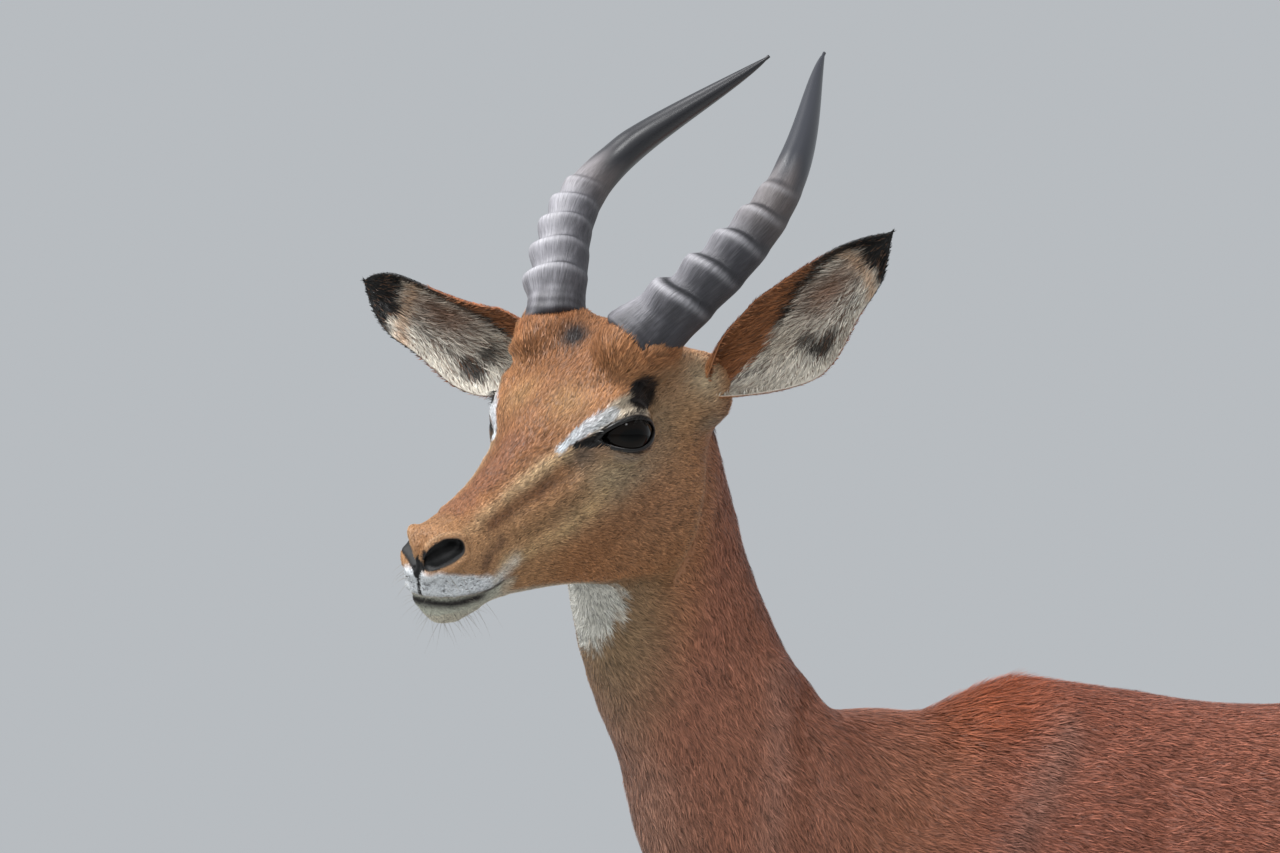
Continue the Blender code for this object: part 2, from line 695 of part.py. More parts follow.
def build():
    body = whole_flesh()
    pieces = flesh_pieces(body)
    for side_name, side in (("left", 1), ("right", -1)):
        seated = eye(f"eye_{side_name}", side)
        trim(pieces["head"], grown_copy(seated, 0.4 * MM))
    head_guide = grown_copy(pieces["head"], GAP)
    for name, form, side in (("horn_left", HORN_LEFT, 1), ("horn_right", HORN_RIGHT, -1)):
        trim(horn(name, form, side), head_guide)
    for name, form in (("ear_left", EAR_LEFT), ("ear_right", EAR_RIGHT)):
        trim(ear(name, form), head_guide)
    trim(tail(), grown_copy(pieces["trunk"], GAP))
    hooves()
    centre_over_floor()
    for piece in IMPALA.objects:
        piece.data.shade_smooth()
        piece.data.set_sharp_from_angle(angle=math.radians(50))


build()
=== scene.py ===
import math

import bmesh
import bpy
import numpy as np
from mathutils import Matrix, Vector
from mathutils.bvhtree import BVHTree


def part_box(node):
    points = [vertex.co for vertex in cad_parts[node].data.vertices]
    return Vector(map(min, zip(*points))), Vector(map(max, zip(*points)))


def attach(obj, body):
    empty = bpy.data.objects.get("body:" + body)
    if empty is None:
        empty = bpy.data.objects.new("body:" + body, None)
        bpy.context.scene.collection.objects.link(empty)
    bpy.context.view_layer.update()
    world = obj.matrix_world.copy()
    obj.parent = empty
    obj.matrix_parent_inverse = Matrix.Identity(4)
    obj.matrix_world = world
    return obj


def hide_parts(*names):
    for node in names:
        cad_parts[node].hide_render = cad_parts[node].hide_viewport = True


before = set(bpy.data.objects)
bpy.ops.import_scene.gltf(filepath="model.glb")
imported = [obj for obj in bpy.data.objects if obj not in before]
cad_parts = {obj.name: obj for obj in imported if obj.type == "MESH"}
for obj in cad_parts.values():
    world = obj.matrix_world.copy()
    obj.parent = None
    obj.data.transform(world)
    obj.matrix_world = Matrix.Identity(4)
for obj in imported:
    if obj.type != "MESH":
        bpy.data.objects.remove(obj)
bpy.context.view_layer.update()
MM = 0.001

# ---------------------------------------------------------------------------------------------
# The room: a plain pale floor, a grey sky and soft studio lamps, with the camera at the
# animal's left front, level with its mouth. Nothing here belongs to the animal.


def linear(colour, alpha=1.0):
    """An sRGB hex colour as linear red, green, blue and alpha."""
    parts = [int(colour[i : i + 2], 16) / 255 for i in (1, 3, 5)]
    return tuple(c / 12.92 if c <= 0.04045 else ((c + 0.055) / 1.055) ** 2.4 for c in parts) + (alpha,)


def new_material(name, colour, roughness):
    """A Principled material and its shader node."""
    made = bpy.data.materials.new(name)
    made.use_nodes = True
    shader = made.node_tree.nodes["Principled BSDF"]
    shader.inputs["Base Color"].default_value = linear(colour)
    shader.inputs["Roughness"].default_value = roughness
    return made, shader


def linked(name, data):
    """An object at the origin, unturned and unscaled, joined to the scene."""
    made = bpy.data.objects.new(name, data)
    bpy.context.scene.collection.objects.link(made)
    return made


def mesh_object(name, points, faces, material):
    """An object made from points and faces."""
    mesh = bpy.data.meshes.new(name)
    mesh.from_pydata([tuple(p) for p in points], [], [tuple(f) for f in faces])
    mesh.validate()
    mesh.materials.append(material)
    return linked(name, mesh)


# The head's own directions: it is turned 27 degrees to the left, 25 down, and leans 8
turn, drop, lean = math.radians(27), math.radians(25), math.radians(8)
level = Vector((-math.cos(turn), -math.sin(turn), 0))
head_forward = level * math.cos(drop) - Vector((0, 0, 1)) * math.sin(drop)
level_left = Vector((0, 0, 1)).cross(level)
head_left = level_left * math.cos(lean) - head_forward.cross(level_left) * math.sin(lean)
head_up = head_forward.cross(head_left)
HEAD_AXES = np.array([head_forward, head_left, head_up])
eye_boxes = [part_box(f"eye_{side}") for side in ("left", "right")]
between_eyes = sum((low + high for low, high in eye_boxes), Vector()) / 4
HEAD_CENTRE = np.array(between_eyes) - HEAD_AXES[0] * 22 * MM - HEAD_AXES[2] * 8 * MM

# The camera: a long lens 6.67 m from the head, 20 degrees forward of the animal's side
camera_data = bpy.data.cameras.new("camera")
camera_data.lens, camera_data.sensor_width, camera_data.clip_end = 300, 36, 60
camera = linked("camera", camera_data)
bpy.context.scene.camera = camera
look_along = Vector((math.sin(math.radians(20)), math.cos(math.radians(20)), 0))
look_right = Vector((look_along.y, -look_along.x, 0))
target = Vector(HEAD_CENTRE) + look_right * 0.03125
target.z = HEAD_CENTRE[2] - 0.004
camera.location = target - look_along * 6.67
camera.location.z = HEAD_CENTRE[2] + 0.089
camera.rotation_euler = (target - camera.location).to_track_quat("-Z", "Y").to_euler()

# A matt painted floor, which only takes soft shadows
floor_material, _ = new_material("pale studio floor", "#b9bab8", 0.9)
floor_corners = [(-9, -9, 0), (9, -9, 0), (9, 9, 0), (-9, 9, 0)]
floor = mesh_object("floor", floor_corners, [(0, 1, 2, 3)], floor_material)
world = bpy.data.worlds.new("studio sky")
bpy.context.scene.world = world
world.use_nodes = True
world.node_tree.nodes["Background"].inputs["Color"].default_value = linear("#dde2e7")
world.node_tree.nodes["Background"].inputs["Strength"].default_value = 0.66
# Each lamp's azimuth and elevation in degrees, its watts, its width in metres, and whether it glints
LAMPS = {
    "sun side": (-94, 57, 126, 1.2, True),
    "front fill": (-30, 10, 8, 3.0, False),
    "eye light": (-8, 36, 10, 0.45, True),
    "high glow": (8, 60, 26, 0.8, True),
    "back edge": (150, 40, 45, 1.6, False),
}
for lamp_name, (azimuth, elevation, power, size, glints) in LAMPS.items():
    lamp_data = bpy.data.lights.new(lamp_name, "AREA")
    lamp_data.energy, lamp_data.size = power, size
    lamp = linked(lamp_name, lamp_data)
    away, rise = math.radians(azimuth), math.radians(elevation)
    toward = Vector((math.sin(away), -math.cos(away), 0)) * math.cos(rise) + Vector((0, 0, math.sin(rise)))
    lamp.location = Vector((-0.25, -0.03, 0.95)) + toward * 3.2
    lamp.rotation_euler = toward.to_track_quat("Z", "Y").to_euler()
    lamp.visible_glossy = glints
bpy.context.scene.view_settings.view_transform = "Standard"

# ---------------------------------------------------------------------------------------------
# The hide: one closed skin over the whole animal, stretched over the flesh and lying inside it
# by the depth of the coat. It is finest on the face, where it makes lids, nostrils and lips.


def unit(vector):
    """Directions of length one."""
    vector = np.asarray(vector, float)
    return vector / np.maximum(np.linalg.norm(vector, axis=-1, keepdims=True), 1e-12)


def to_head(points):
    """Places in millimetres of the head: forward, to the animal's left, and up."""
    return (np.asarray(points) - HEAD_CENTRE) @ HEAD_AXES.T / MM


def from_head(places):
    """Places in millimetres of the head, back to metres in the room."""
    return HEAD_CENTRE + np.asarray(places, float) * MM @ HEAD_AXES


def both_sides(places):
    """Places of the head's right half moved to its left half, so that one form serves both."""
    return np.stack([places[:, 0], np.abs(places[:, 1]), places[:, 2]], axis=1)


def smooth_step(low, high, value):
    """0 at low, 1 at high, easing in and out between them; low may be the larger."""
    t = np.clip((np.asarray(value, float) - low) / (high - low), 0, 1)
    return t * t * (3 - 2 * t)


def bump(value, centre, width):
    """A smooth hill, 1 at its centre."""
    return np.exp(-(((value - centre) / width) ** 2))


def far_from(places, spot, sizes=(1, 1, 1)):
    """Distance of each place from a spot, measured in the sizes given for the three directions."""
    return np.linalg.norm((places - np.array(spot, float)) / np.array(sizes, float), axis=1)


def near_line(places, corners):
    """Distance from each place to a bent line, and how far along the line it is (0 to 1)."""
    corners = np.asarray(corners, float)
    lengths = np.linalg.norm(np.diff(corners, axis=0), axis=1)
    starts = np.concatenate([[0], np.cumsum(lengths)])
    best = np.full(len(places), 1e9)
    share = np.zeros(len(places))
    for i, length in enumerate(lengths):
        way = (corners[i + 1] - corners[i]) / length
        t = np.clip((places - corners[i]) @ way, 0, length)
        gap = np.linalg.norm(places - (corners[i] + t[:, None] * way), axis=1)
        closer = gap < best
        best[closer] = gap[closer]
        share[closer] = (starts[i] + t[closer]) / starts[-1]
    return best, share


def merged_copy(node_name, grow=0.0):
    """A CAD node's surface with its loose triangles joined, swollen a little if asked."""
    copy = bmesh.new()
    copy.from_mesh(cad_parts[node_name].data)
    copy.transform(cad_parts[node_name].matrix_world)
    bmesh.ops.remove_doubles(copy, verts=copy.verts, dist=2e-5)
    bmesh.ops.recalc_face_normals(copy, faces=copy.faces)
    if grow:
        for vertex, normal in [(v, v.normal.copy()) for v in copy.verts]:
            vertex.co += normal * grow
    return copy


FLESH = ("head", "neck", "trunk", "leg_front_left", "leg_front_right", "leg_hind_left", "leg_hind_right")
EYE, EYE_RADIUS = np.array([17.5, 41.0, 6.0]), 19.3      # the left eyeball, millimetres of the head
gathered = bpy.data.meshes.new("flesh")
gather = bmesh.new()
for node_name in FLESH:
    piece = merged_copy(node_name, 0.6 * MM)
    piece_mesh = bpy.data.meshes.new("piece")
    piece.to_mesh(piece_mesh)
    piece.free()
    gather.from_mesh(piece_mesh)
# a ball fills each eye's socket, for the skin to run over
for side in (1, -1):
    ball = bmesh.ops.create_uvsphere(gather, u_segments=32, v_segments=20, radius=18.6 * MM)
    seat = Vector(from_head([22, 41 * side, 8]))
    bmesh.ops.translate(gather, verts=ball["verts"], vec=seat)
gather.to_mesh(gathered)
gather.free()
skin = linked("hide", gathered)
remesh = skin.modifiers.new("skin", "REMESH")
remesh.mode, remesh.voxel_size, remesh.use_smooth_shade = "VOXEL", 7.2 * MM, True


def as_shown(made):
    """A mesh of the object with its modifiers' work done."""
    return bpy.data.meshes.new_from_object(made.evaluated_get(bpy.context.evaluated_depsgraph_get()))


skin_mesh = as_shown(skin)
skin.modifiers.clear()


def measures(items, name, width=3, kind=float):
    """One measure of all a mesh's points, edges or corners, a row to each."""
    found = np.empty(len(items) * width, kind)
    items.foreach_get(name, found)
    return found.reshape(-1, width)


def mesh_points(mesh):
    """The places of the mesh's points."""
    return measures(mesh.vertices, "co")


def mesh_normals(mesh):
    """The way outward at each of the mesh's points."""
    return measures(mesh.vertices, "normal")


def set_points(mesh, points):
    """Moves the mesh's points to new places."""
    mesh.vertices.foreach_set("co", np.ascontiguousarray(points).ravel())
    mesh.update()


def neighbours_smoothed(mesh, passes, weight=None):
    """The points after passes of smoothing that take out dents but hardly shrink the form."""
    points = mesh_points(mesh)
    a, b = measures(mesh.edges, "vertices", 2, np.int64).T
    count = np.bincount(a, minlength=len(points)) + np.bincount(b, minlength=len(points))
    for _ in range(passes):
        for amount in (0.5, -0.53):
            total = np.empty_like(points)
            for axis in range(3):
                total[:, axis] = np.bincount(a, points[b, axis], len(points)) + np.bincount(
                    b, points[a, axis], len(points))
            step = (total / count[:, None] - points) * amount
            points += step if weight is None else step * weight[:, None]
    return points


set_points(skin_mesh, neighbours_smoothed(skin_mesh, 14))


def finer(mesh, wanted, passes):
    """Every face with a wanted corner cut in four, then smoothed where it was cut."""
    work = bmesh.new()
    work.from_mesh(mesh)
    work.verts.ensure_lookup_table()
    chosen = wanted(np.array([v.co for v in work.verts]))
    for v, is_chosen in zip(work.verts, chosen):
        v.select_set(bool(is_chosen))
    cut = [e for e in work.edges if e.verts[0].select and e.verts[1].select]
    bmesh.ops.subdivide_edges(work, edges=cut, cuts=1, use_grid_fill=True)
    work.to_mesh(mesh)
    work.free()
    chosen = wanted(mesh_points(mesh)) * 1.0
    set_points(mesh, neighbours_smoothed(mesh, passes, chosen))


def face_part(points):
    """The face and jaw; the next two take in less and less of it."""
    f, l, u = to_head(points).T
    return (f * 0.86 + u * 0.5 > -80) & (f > -95) & (u > -135) & (np.abs(l) < 90)


def face_front(points):
    f, l, u = to_head(points).T
    return face_part(points) & (f > -22) & (u > -112)


def eye_or_nose(points):
    f, l, u = to_head(points).T
    by_eye = np.linalg.norm(np.stack([f - 24, np.abs(l) - 50, u - 8]), axis=0) < 31
    return by_eye | ((f > 146) & (u > -62) & face_part(points))


for part, passes in ((face_part, 4), (face_front, 3), (eye_or_nose, 2)):
    finer(skin_mesh, part, passes)

HEADWARD = np.array([0.86, 0.0, 0.5])     # across the throat cut: positive on the head


def head_share(points):
    """1 on the head, 0 on the neck, changing over a few centimetres behind the jaw."""
    places = to_head(points)
    front = smooth_step(-26, 22, (places - [-62, 0, -40]) @ HEADWARD)
    return front * smooth_step(0.31, 0.26, np.linalg.norm(points - HEAD_CENTRE, axis=1))


def coat_depth(points):
    """How far the hide lies inside the flesh, to leave room for the hair: least on face and shanks."""
    head = head_share(points)
    shank = smooth_step(0.50, 0.34, points[:, 2])
    muzzle = smooth_step(40, 130, to_head(points)[:, 0]) * head
    depth = 3.6 * (1 - head) + (1.8 - 0.9 * muzzle) * head
    return (depth * (1 - shank) + 1.5 * shank + 0.6) * MM


skin_at = mesh_points(skin_mesh)
skin_at = skin_at - mesh_normals(skin_mesh) * coat_depth(skin_at)[:, None]
head_at = to_head(skin_at)

# Eyelids: the hide wraps the ball and opens in a long almond whose inner corner is drawn out
eye_out = unit([0.31, 0.925, 0.21])
eye_along = np.array([51.0, -10.0, 13.0])
eye_along = unit(eye_along - eye_out * (eye_along @ eye_out))
eye_high = np.cross(eye_along, eye_out)
EYE_AXES = np.array([eye_along, eye_high, eye_out])
LID_OUTER, LID_INNER = -19.5, 24.0      # where the lids meet, along the eye


def lid_edges(x):
    """Heights of the upper and lower lid edges at a place along the eye."""
    s = np.clip((x - LID_OUTER) / (LID_INNER - LID_OUTER), 0, 1)
    upper = 10.6 * np.sin(np.pi * s**0.84) ** 0.74 - 0.6 * s
    lower = -9.8 * np.sin(np.pi * s**0.80) ** 0.90 - 0.6 * s
    return upper, lower


def shape_eye(head_at, side):
    """The hide round one eye drawn over the ball, and opened between the lids."""
    mirrored = head_at * [1, side, 1]
    local = (mirrored - EYE) @ EYE_AXES.T
    x, y, z = local.T
    reach = np.linalg.norm(local, axis=1)
    region = (1 - smooth_step(31, 44, reach)) * (z > 0) * (mirrored[:, 1] > 15)
    flat = np.hypot(x, y)
    ball = np.sqrt(np.maximum(EYE_RADIUS**2 - flat**2, 0))
    lid = np.sqrt(np.maximum((EYE_RADIUS + 1.5) ** 2 - flat**2, 0))
    upper, lower = lid_edges(x)
    # the brow overhangs; a crease runs over the upper lid and a shallow bag lies under the lower
    brow = 4.6 * bump(y, upper + 13.5 - 0.12 * x, 5.0) * bump(x, 3, 19)
    crease = -1.5 * bump(y, upper + 6.6, 1.4) * bump(x, 0, 15)
    second = -0.9 * bump(y, upper + 10.2, 1.3) * bump(x, -3, 11)
    bag = 1.3 * bump(y, lower - 5.0, 2.6) * bump(x, 2, 15) - 1.3 * bump(y, lower - 9.4, 2.2) * bump(x, 4, 17)
    rest = z + brow + crease + second + bag
    over = np.maximum(lid - rest, -12)
    closed = rest + np.where(over > -3, (over + 3) ** 2 / 12 * (over < 3) + over * (over >= 3), 0)
    inside = np.minimum(upper - y, y - lower)
    inside = np.where((x > LID_OUTER) & (x < LID_INNER), inside, -5)
    open_z = np.where(flat < EYE_RADIUS - 0.5, ball - 3.0, closed - 2.2)
    opened = smooth_step(0.0, 1.1, inside)
    wanted = closed * (1 - opened) + open_z * opened
    tear = -1.6 * bump(y, -0.6 - 0.22 * (x - 24), 1.8) * smooth_step(20, 26, x)
    tear = tear * (1 - smooth_step(34, 42, x))
    shift = (wanted + tear - z) * region
    return head_at + shift[:, None] * (eye_out * [1, side, 1])


for side in (1, -1):
    head_at = shape_eye(head_at, side)

# Muzzle, lips, cheeks and brow, as hills and grooves across the hide (millimetres of the head)
MOUTH = ((180, 0, -34.5), (175.4, 13, -36), (168.5, 19, -38.5), (154.5, 22, -43), (139, 22.4, -47),
         (124, 23.5, -48.5))
NOSTRIL = ((179.8, 5.6, -15.4, 2.2), (177.0, 10.8, -12.0, 4.8), (172.0, 15.8, -8.8, 6.9),
           (165.8, 19.6, -7.2, 7.4), (160.2, 22.2, -7.2, 5.8))      # balls along the opening: centre, radius


def nostril_edge(mirrored):
    """How far inside the nostril's edge a place is, in millimetres; negative is outside."""
    spots = np.array(NOSTRIL)
    inside = np.full(len(mirrored), -99.0)
    for low, high in zip(spots, spots[1:]):
        for t in np.linspace(0, 1, 6):
            spot = low * (1 - t) + high * t
            inside = np.maximum(inside, spot[3] - np.linalg.norm(mirrored - spot[:3], axis=1))
    return inside


def mouth_height(f):
    """How high the mouth's line runs at a place along the head."""
    return np.interp(f, [place[0] for place in MOUTH][::-1], [place[2] for place in MOUTH][::-1])


# Lines and spots of the face: where they run, how wide, and how far they rise or sink (mm)
FACE_LINES = (
    (((152, 23, -14), (148, 24, -7), (152, 21, 0)), 2.6, -1.3),                      # behind the nostril
    (((100, 26, -12), (70, 37, -12), (45, 46, -9)), 7, 1.3),                         # crest of the cheek
    (((60, 28, 9), (98, 18.5, 3), (130, 15, -1)), 4.5, 1.5),                         # edge of the nose bone
    (((58, 36, 1), (84, 27, -6), (108, 22.5, -9)), 5, -1.5),                         # hollow under it
    (((40, 45, -60), (5, 50, -60), (-20, 50, -85)), 20, 1.2),                        # jaw muscle
    (((-66, 38, -40), (-43, 49, -66), (-25, 49, -89), (-8, 38, -114)), 6, -3.4),     # furrow behind the jaw
    (((118, 17, -56), (80, 30, -76), (40, 38, -98)), 6, 1.0),                        # lower edge of the jaw
)
FACE_SPOTS = (
    ((123, 19.5, -53), 5, -1.6),     # dimple at the mouth's corner
    ((66, 36, 3), 11, -2.0),         # hollow before the eye
    ((8, 38, 42), 13, 1.6),          # ridge from horn to eye
    ((-8, 25, 58), 10, 5.0),         # hump before each horn's inner side
    ((-62, 42, -12), 20, 4.5),       # flesh round the foot of the ear
)


def shape_face(head_at, outward):
    """The face's hills and grooves raised and sunk, and the nostrils pressed in."""
    f, l, u = head_at.T
    both = both_sides(head_at)
    on_head = (f * 0.86 + u * 0.5 > -80) & (u > -125)
    rise = np.zeros(len(f))
    for line, width, amount in FACE_LINES:
        rise += amount * bump(near_line(both, line)[0], 0, width)
    for spot, width, amount in FACE_SPOTS:
        rise += amount * bump(far_from(both, spot), 0, width)
    # the mouth: a sunk line between two rolled lips
    gap, share = near_line(both, MOUTH)
    over_mouth = u - mouth_height(f)
    rise -= (2.8 * (1 - share) ** 0.5 + 0.8) * bump(gap, 0, 1.5) * (f > 124) * (f < 200)
    rise += 1.9 * bump(over_mouth, 4.0, 3.6) * smooth_step(124, 142, f) * bump(gap, 0, 9)      # upper lip
    rise -= 1.2 * bump(over_mouth, -2.4, 1.8) * smooth_step(136, 150, f) * bump(gap, 0, 7)     # gap under it
    rise += 1.8 * bump(over_mouth, -8.0, 4.5) * smooth_step(128, 150, f) * bump(gap, 0, 11)    # lower lip
    # the nostril's wing above and behind its opening, and the groove from nose to lip
    hole = nostril_edge(both)
    rise += 2.0 * bump(hole, -3.4, 2.6) * (f > 140)
    rise -= 1.4 * bump(l, 0, 1.3) * smooth_step(-40, -30, u) * smooth_step(-2, -12, u) * (f > 170)
    # the brow is low between the horns' feet, with a collar round each and a hump before it
    rise -= 1.5 * bump(l, 0, 9) * bump(f, 8, 34) * (u > 20)
    rise += 5.0 * bump(far_from(both, (-15, 38, 50)), 20, 8) * (u > 25)
    rise += 4.0 * bump(far_from(both, (4, 30, 52)), 0, 13) * smooth_step(-16, -4, f)
    rise += 10.0 * bump(far_from(both, (-2, 39, 57)), 0, 11) * np.where(l > 0, 1, 0.3)
    head_at = head_at + outward * (rise * on_head)[:, None]
    # the nostril runs in, back and toward the middle; the nose's tip is drawn back, its right wing in
    hollow = smooth_step(0.0, 1.6, hole) * 6.5 + smooth_step(1.6, 6.0, hole) * 5
    inward = np.stack([np.full(len(f), -0.55), np.where(l >= 0, -0.80, 0.80), np.full(len(f), 0.10)], axis=1)
    right_wing = 5.0 * bump(far_from(head_at, (177, -14, -12)), 0, 9)
    drawn_back = 5.0 * smooth_step(158, 176, f) * smooth_step(-26, -15, u) * smooth_step(12, 2, l)
    moved = np.stack([-drawn_back, right_wing, np.zeros(len(f))], axis=1)
    return head_at + inward * (hollow * on_head)[:, None] + moved


set_points(skin_mesh, from_head(head_at))
nostril_depth = nostril_edge(both_sides(head_at))
head_at = shape_face(head_at, mesh_normals(skin_mesh) @ HEAD_AXES.T)
skin_at = from_head(head_at)

# Body: shoulder blade, muscles of the upper arm, ribs, hip bone, thigh and flank, as soft hills.
# Places are metres from the withers along the spine, and up; the same on both sides.
WITHERS = np.array([-0.12276, 0.02079])
set_points(skin_mesh, skin_at)
outward = mesh_normals(skin_mesh)
along, high = skin_at[:, 0] - WITHERS[0], skin_at[:, 2]
body = smooth_step(0.10, 0.02, head_share(skin_at)) * smooth_step(0.30, 0.75, np.abs(outward[:, 1]))
swell = np.zeros(len(skin_at))
BODY_LINES = (
    (((0.020, 0.850), (-0.040, 0.760), (-0.085, 0.690)), 0.014, 4.4),    # spine of the shoulder blade
    (((-0.180, 0.880), (-0.190, 0.770), (-0.185, 0.690)), 0.011, 3.2),   # folds where neck meets shoulder
    (((-0.158, 0.870), (-0.166, 0.770), (-0.160, 0.690)), 0.007, -2.6),
    (((-0.138, 0.850), (-0.146, 0.760), (-0.140, 0.700)), 0.008, 1.8),
    (((-0.118, 0.840), (-0.126, 0.760), (-0.120, 0.700)), 0.006, -1.4),
    (((0.050, 0.810), (0.010, 0.720)), 0.030, 2.0),                      # muscle behind it
    (((-0.085, 0.690), (-0.010, 0.640), (0.020, 0.590)), 0.026, 3.0),    # upper arm
    (((0.075, 0.800), (0.060, 0.700), (0.035, 0.600)), 0.013, -2.6),     # furrow behind the shoulder
    (((-0.110, 0.780), (-0.060, 0.700), (-0.100, 0.640)), 0.012, -1.8),  # furrow before the shoulder
    (((0.440, 0.800), (0.470, 0.770)), 0.022, 3.0),                      # point of the hip
    (((0.420, 0.740), (0.430, 0.650), (0.460, 0.590)), 0.018, -3.0),     # hollow of the flank
    (((0.500, 0.740), (0.540, 0.640), (0.560, 0.560)), 0.030, 2.4),      # thigh muscle
    (((0.590, 0.740), (0.600, 0.640), (0.590, 0.560)), 0.012, -1.6),     # line between thigh muscles
)
flat_places = np.stack([along, high], axis=1)
for line, width, amount in BODY_LINES:
    swell += amount * bump(near_line(flat_places, line)[0], 0, width)
for rib in range(8):
    start = 0.110 + rib * 0.034
    gap, _ = near_line(flat_places, ((start, 0.800), (start + 0.035, 0.700), (start + 0.030, 0.620)))
    swell += 0.6 * bump(gap, 0, 0.008)
# the crest of muscle along the back of the neck
gap, _ = near_line(flat_places, ((-0.215, 1.035), (-0.200, 0.975), (-0.176, 0.925), (-0.150, 0.880)))
nape = 6.0 * bump(gap, 0, 0.030) * smooth_step(0.1, 0.7, outward[:, 0])
skin_at = skin_at + outward * ((swell * body + nape) * MM)[:, None]
set_points(skin_mesh, skin_at)
skin_normals = mesh_normals(skin_mesh)

# Ears: thin cupped leaves of gristle and hide, rolled to a funnel where they leave the head.
# They and the tail belong to the same hide, so their surfaces are joined to it here.
EARS = {
    1: {"root": (-61, 45, 2), "tip": (-160, 135, 74), "facing": (0.66, 0.66, 0.10), "belly": 1,
        "point": 0.62, "narrow": 0.36, "round_from": 0.74, "slim_low": 0.26, "slim_high": 0.0},
    -1: {"root": (-58, -45, 5), "tip": (-21, -190, 60), "facing": (0.66, 0.50, 0.05), "belly": -1,
         "point": 0.50, "narrow": 0.20, "round_from": 0.80, "slim_low": 0.06, "slim_high": 0.30},
}
EAR_ROWS, EAR_COLUMNS, EAR_WALL = 56, 30, 2.2


def ear_ways(form):
    """The ear's own directions: along it, out of its hollow, and across it."""
    way = unit(np.array(form["tip"], float) - form["root"])
    facing = np.array(form["facing"])
    facing = unit(facing - way * (facing @ way))
    return way, facing, np.cross(way, facing)


def ear_place(form, share, across):
    """A place on the ear's middle sheet, from its share of the length and -1 to 1 across it."""
    way, facing, sideways = ear_ways(form)
    root = np.array(form["root"], float)
    length = np.linalg.norm(form["tip"] - root)
    arch = np.sin(np.pi * np.clip(share * 0.92 + 0.02, 0, 1)) ** 0.9
    breadth = 36 * (0.50 + 0.62 * arch - form["narrow"] * np.clip(share, 0, 1) ** 3)
    breadth *= 1 - 0.13 * bump(share, 0.74, 0.17)
    point = np.clip((share - form["round_from"]) / (1 - form["round_from"]), 0, 1)
    breadth = breadth * np.maximum(np.cos(point * np.pi / 2) ** form["point"], 0.03)
    roll = np.radians(150 - 100 * np.clip(share / 0.40, 0, 1) ** 0.8)
    radius = breadth / roll
    swell = np.sin(np.pi * np.clip(share, 0, 1))
    belly = 9.0 * form["belly"] * swell * (1 - 0.35 * smooth_step(0.5, 0.9, share))
    middle = root + way * (length * share)[:, None] + sideways * belly[:, None]
    middle = middle - facing * (4.5 * swell)[:, None]
    angle = roll * across
    lower_side, upper_side = np.maximum(across * form["belly"], 0), np.maximum(-across * form["belly"], 0)
    slimmer = 1 - form["slim_low"] * lower_side * bump(share, 0.66, 0.24)
    slimmer -= form["slim_high"] * upper_side * bump(share, 0.6, 0.3)
    slimmer += 0.42 * upper_side * bump(share, 0.14, 0.15) * (form["belly"] > 0)
    wave = 1.2 * np.sin(share * 17) * np.abs(across) ** 3
    cupped = facing * (radius * (1 - np.cos(angle)) + wave)[:, None]
    return middle + sideways * (np.sin(angle) * radius * slimmer)[:, None] + cupped


def ear_sheet(side):
    """Points, faces and, for each point, its share, its place across, and 1 (back) or 2 (hollow)."""
    shares = np.linspace(-0.03, 1.0, EAR_ROWS)
    acrosses = np.sin(np.linspace(-1, 1, EAR_COLUMNS) * np.pi / 2 * 0.92) / np.sin(np.pi / 2 * 0.92)
    share, across = [grid.ravel() for grid in np.meshgrid(shares, acrosses, indexing="ij")]
    middle = ear_place(EARS[side], share, across)
    step = 0.004
    run = ear_place(EARS[side], share + step, across) - ear_place(EARS[side], share - step, across)
    turn = ear_place(EARS[side], share, across + step) - ear_place(EARS[side], share, across - step)
    front = unit(np.cross(run, turn))
    facing = np.array(EARS[side]["facing"])
    front *= np.sign(np.sum(front.reshape(EAR_ROWS, EAR_COLUMNS, 3)[:, EAR_COLUMNS // 2] @ facing))
    wall = EAR_WALL * (1 - 0.55 * np.abs(across) ** 3)[:, None]
    points = np.concatenate([middle - front * wall / 2, middle + front * wall / 2])
    count = EAR_ROWS * EAR_COLUMNS
    index = np.arange(count).reshape(EAR_ROWS, EAR_COLUMNS)
    quads = np.stack([index[:-1, :-1], index[:-1, 1:], index[1:, 1:], index[1:, :-1]], axis=-1)
    quads = quads.reshape(-1, 4)
    rim = np.concatenate([index[0], index[1:, -1], index[-1, -2::-1], index[-2:0:-1, 0]])
    after = np.roll(rim, -1)
    edge = np.stack([rim, after, after + count, rim + count], axis=1)
    faces = np.concatenate([quads, quads[:, ::-1] + count, edge[:, ::-1]])
    return points, faces, np.tile(share, 2), np.tile(across, 2), np.repeat([1, 2], count)


def faced_outward(mesh, merge=0.0, cut_in_triangles=False):
    """Every face of a closed mesh turned outward and shaded smooth."""
    work = bmesh.new()
    work.from_mesh(mesh)
    if merge:
        bmesh.ops.remove_doubles(work, verts=work.verts, dist=merge)
    bmesh.ops.recalc_face_normals(work, faces=work.faces)
    if cut_in_triangles:
        bmesh.ops.triangulate(work, faces=work.faces)
    work.to_mesh(mesh)
    work.free()
    mesh.polygons.foreach_set("use_smooth", np.ones(len(mesh.polygons), bool))


tail_form = merged_copy("tail")
bmesh.ops.join_triangles(
    tail_form, faces=tail_form.faces, angle_face_threshold=0.7, angle_shape_threshold=0.7)
tail_mesh = bpy.data.meshes.new("tail")
tail_form.to_mesh(tail_mesh)
tail_form.free()
tail_object = linked("tail form", tail_mesh)
rounder = tail_object.modifiers.new("rounder", "SUBSURF")
rounder.levels = rounder.render_levels = 2
tail_mesh = as_shown(tail_object)
bpy.data.objects.remove(tail_object)
tail_points = mesh_points(tail_mesh) - mesh_normals(tail_mesh) * 3.4 * MM

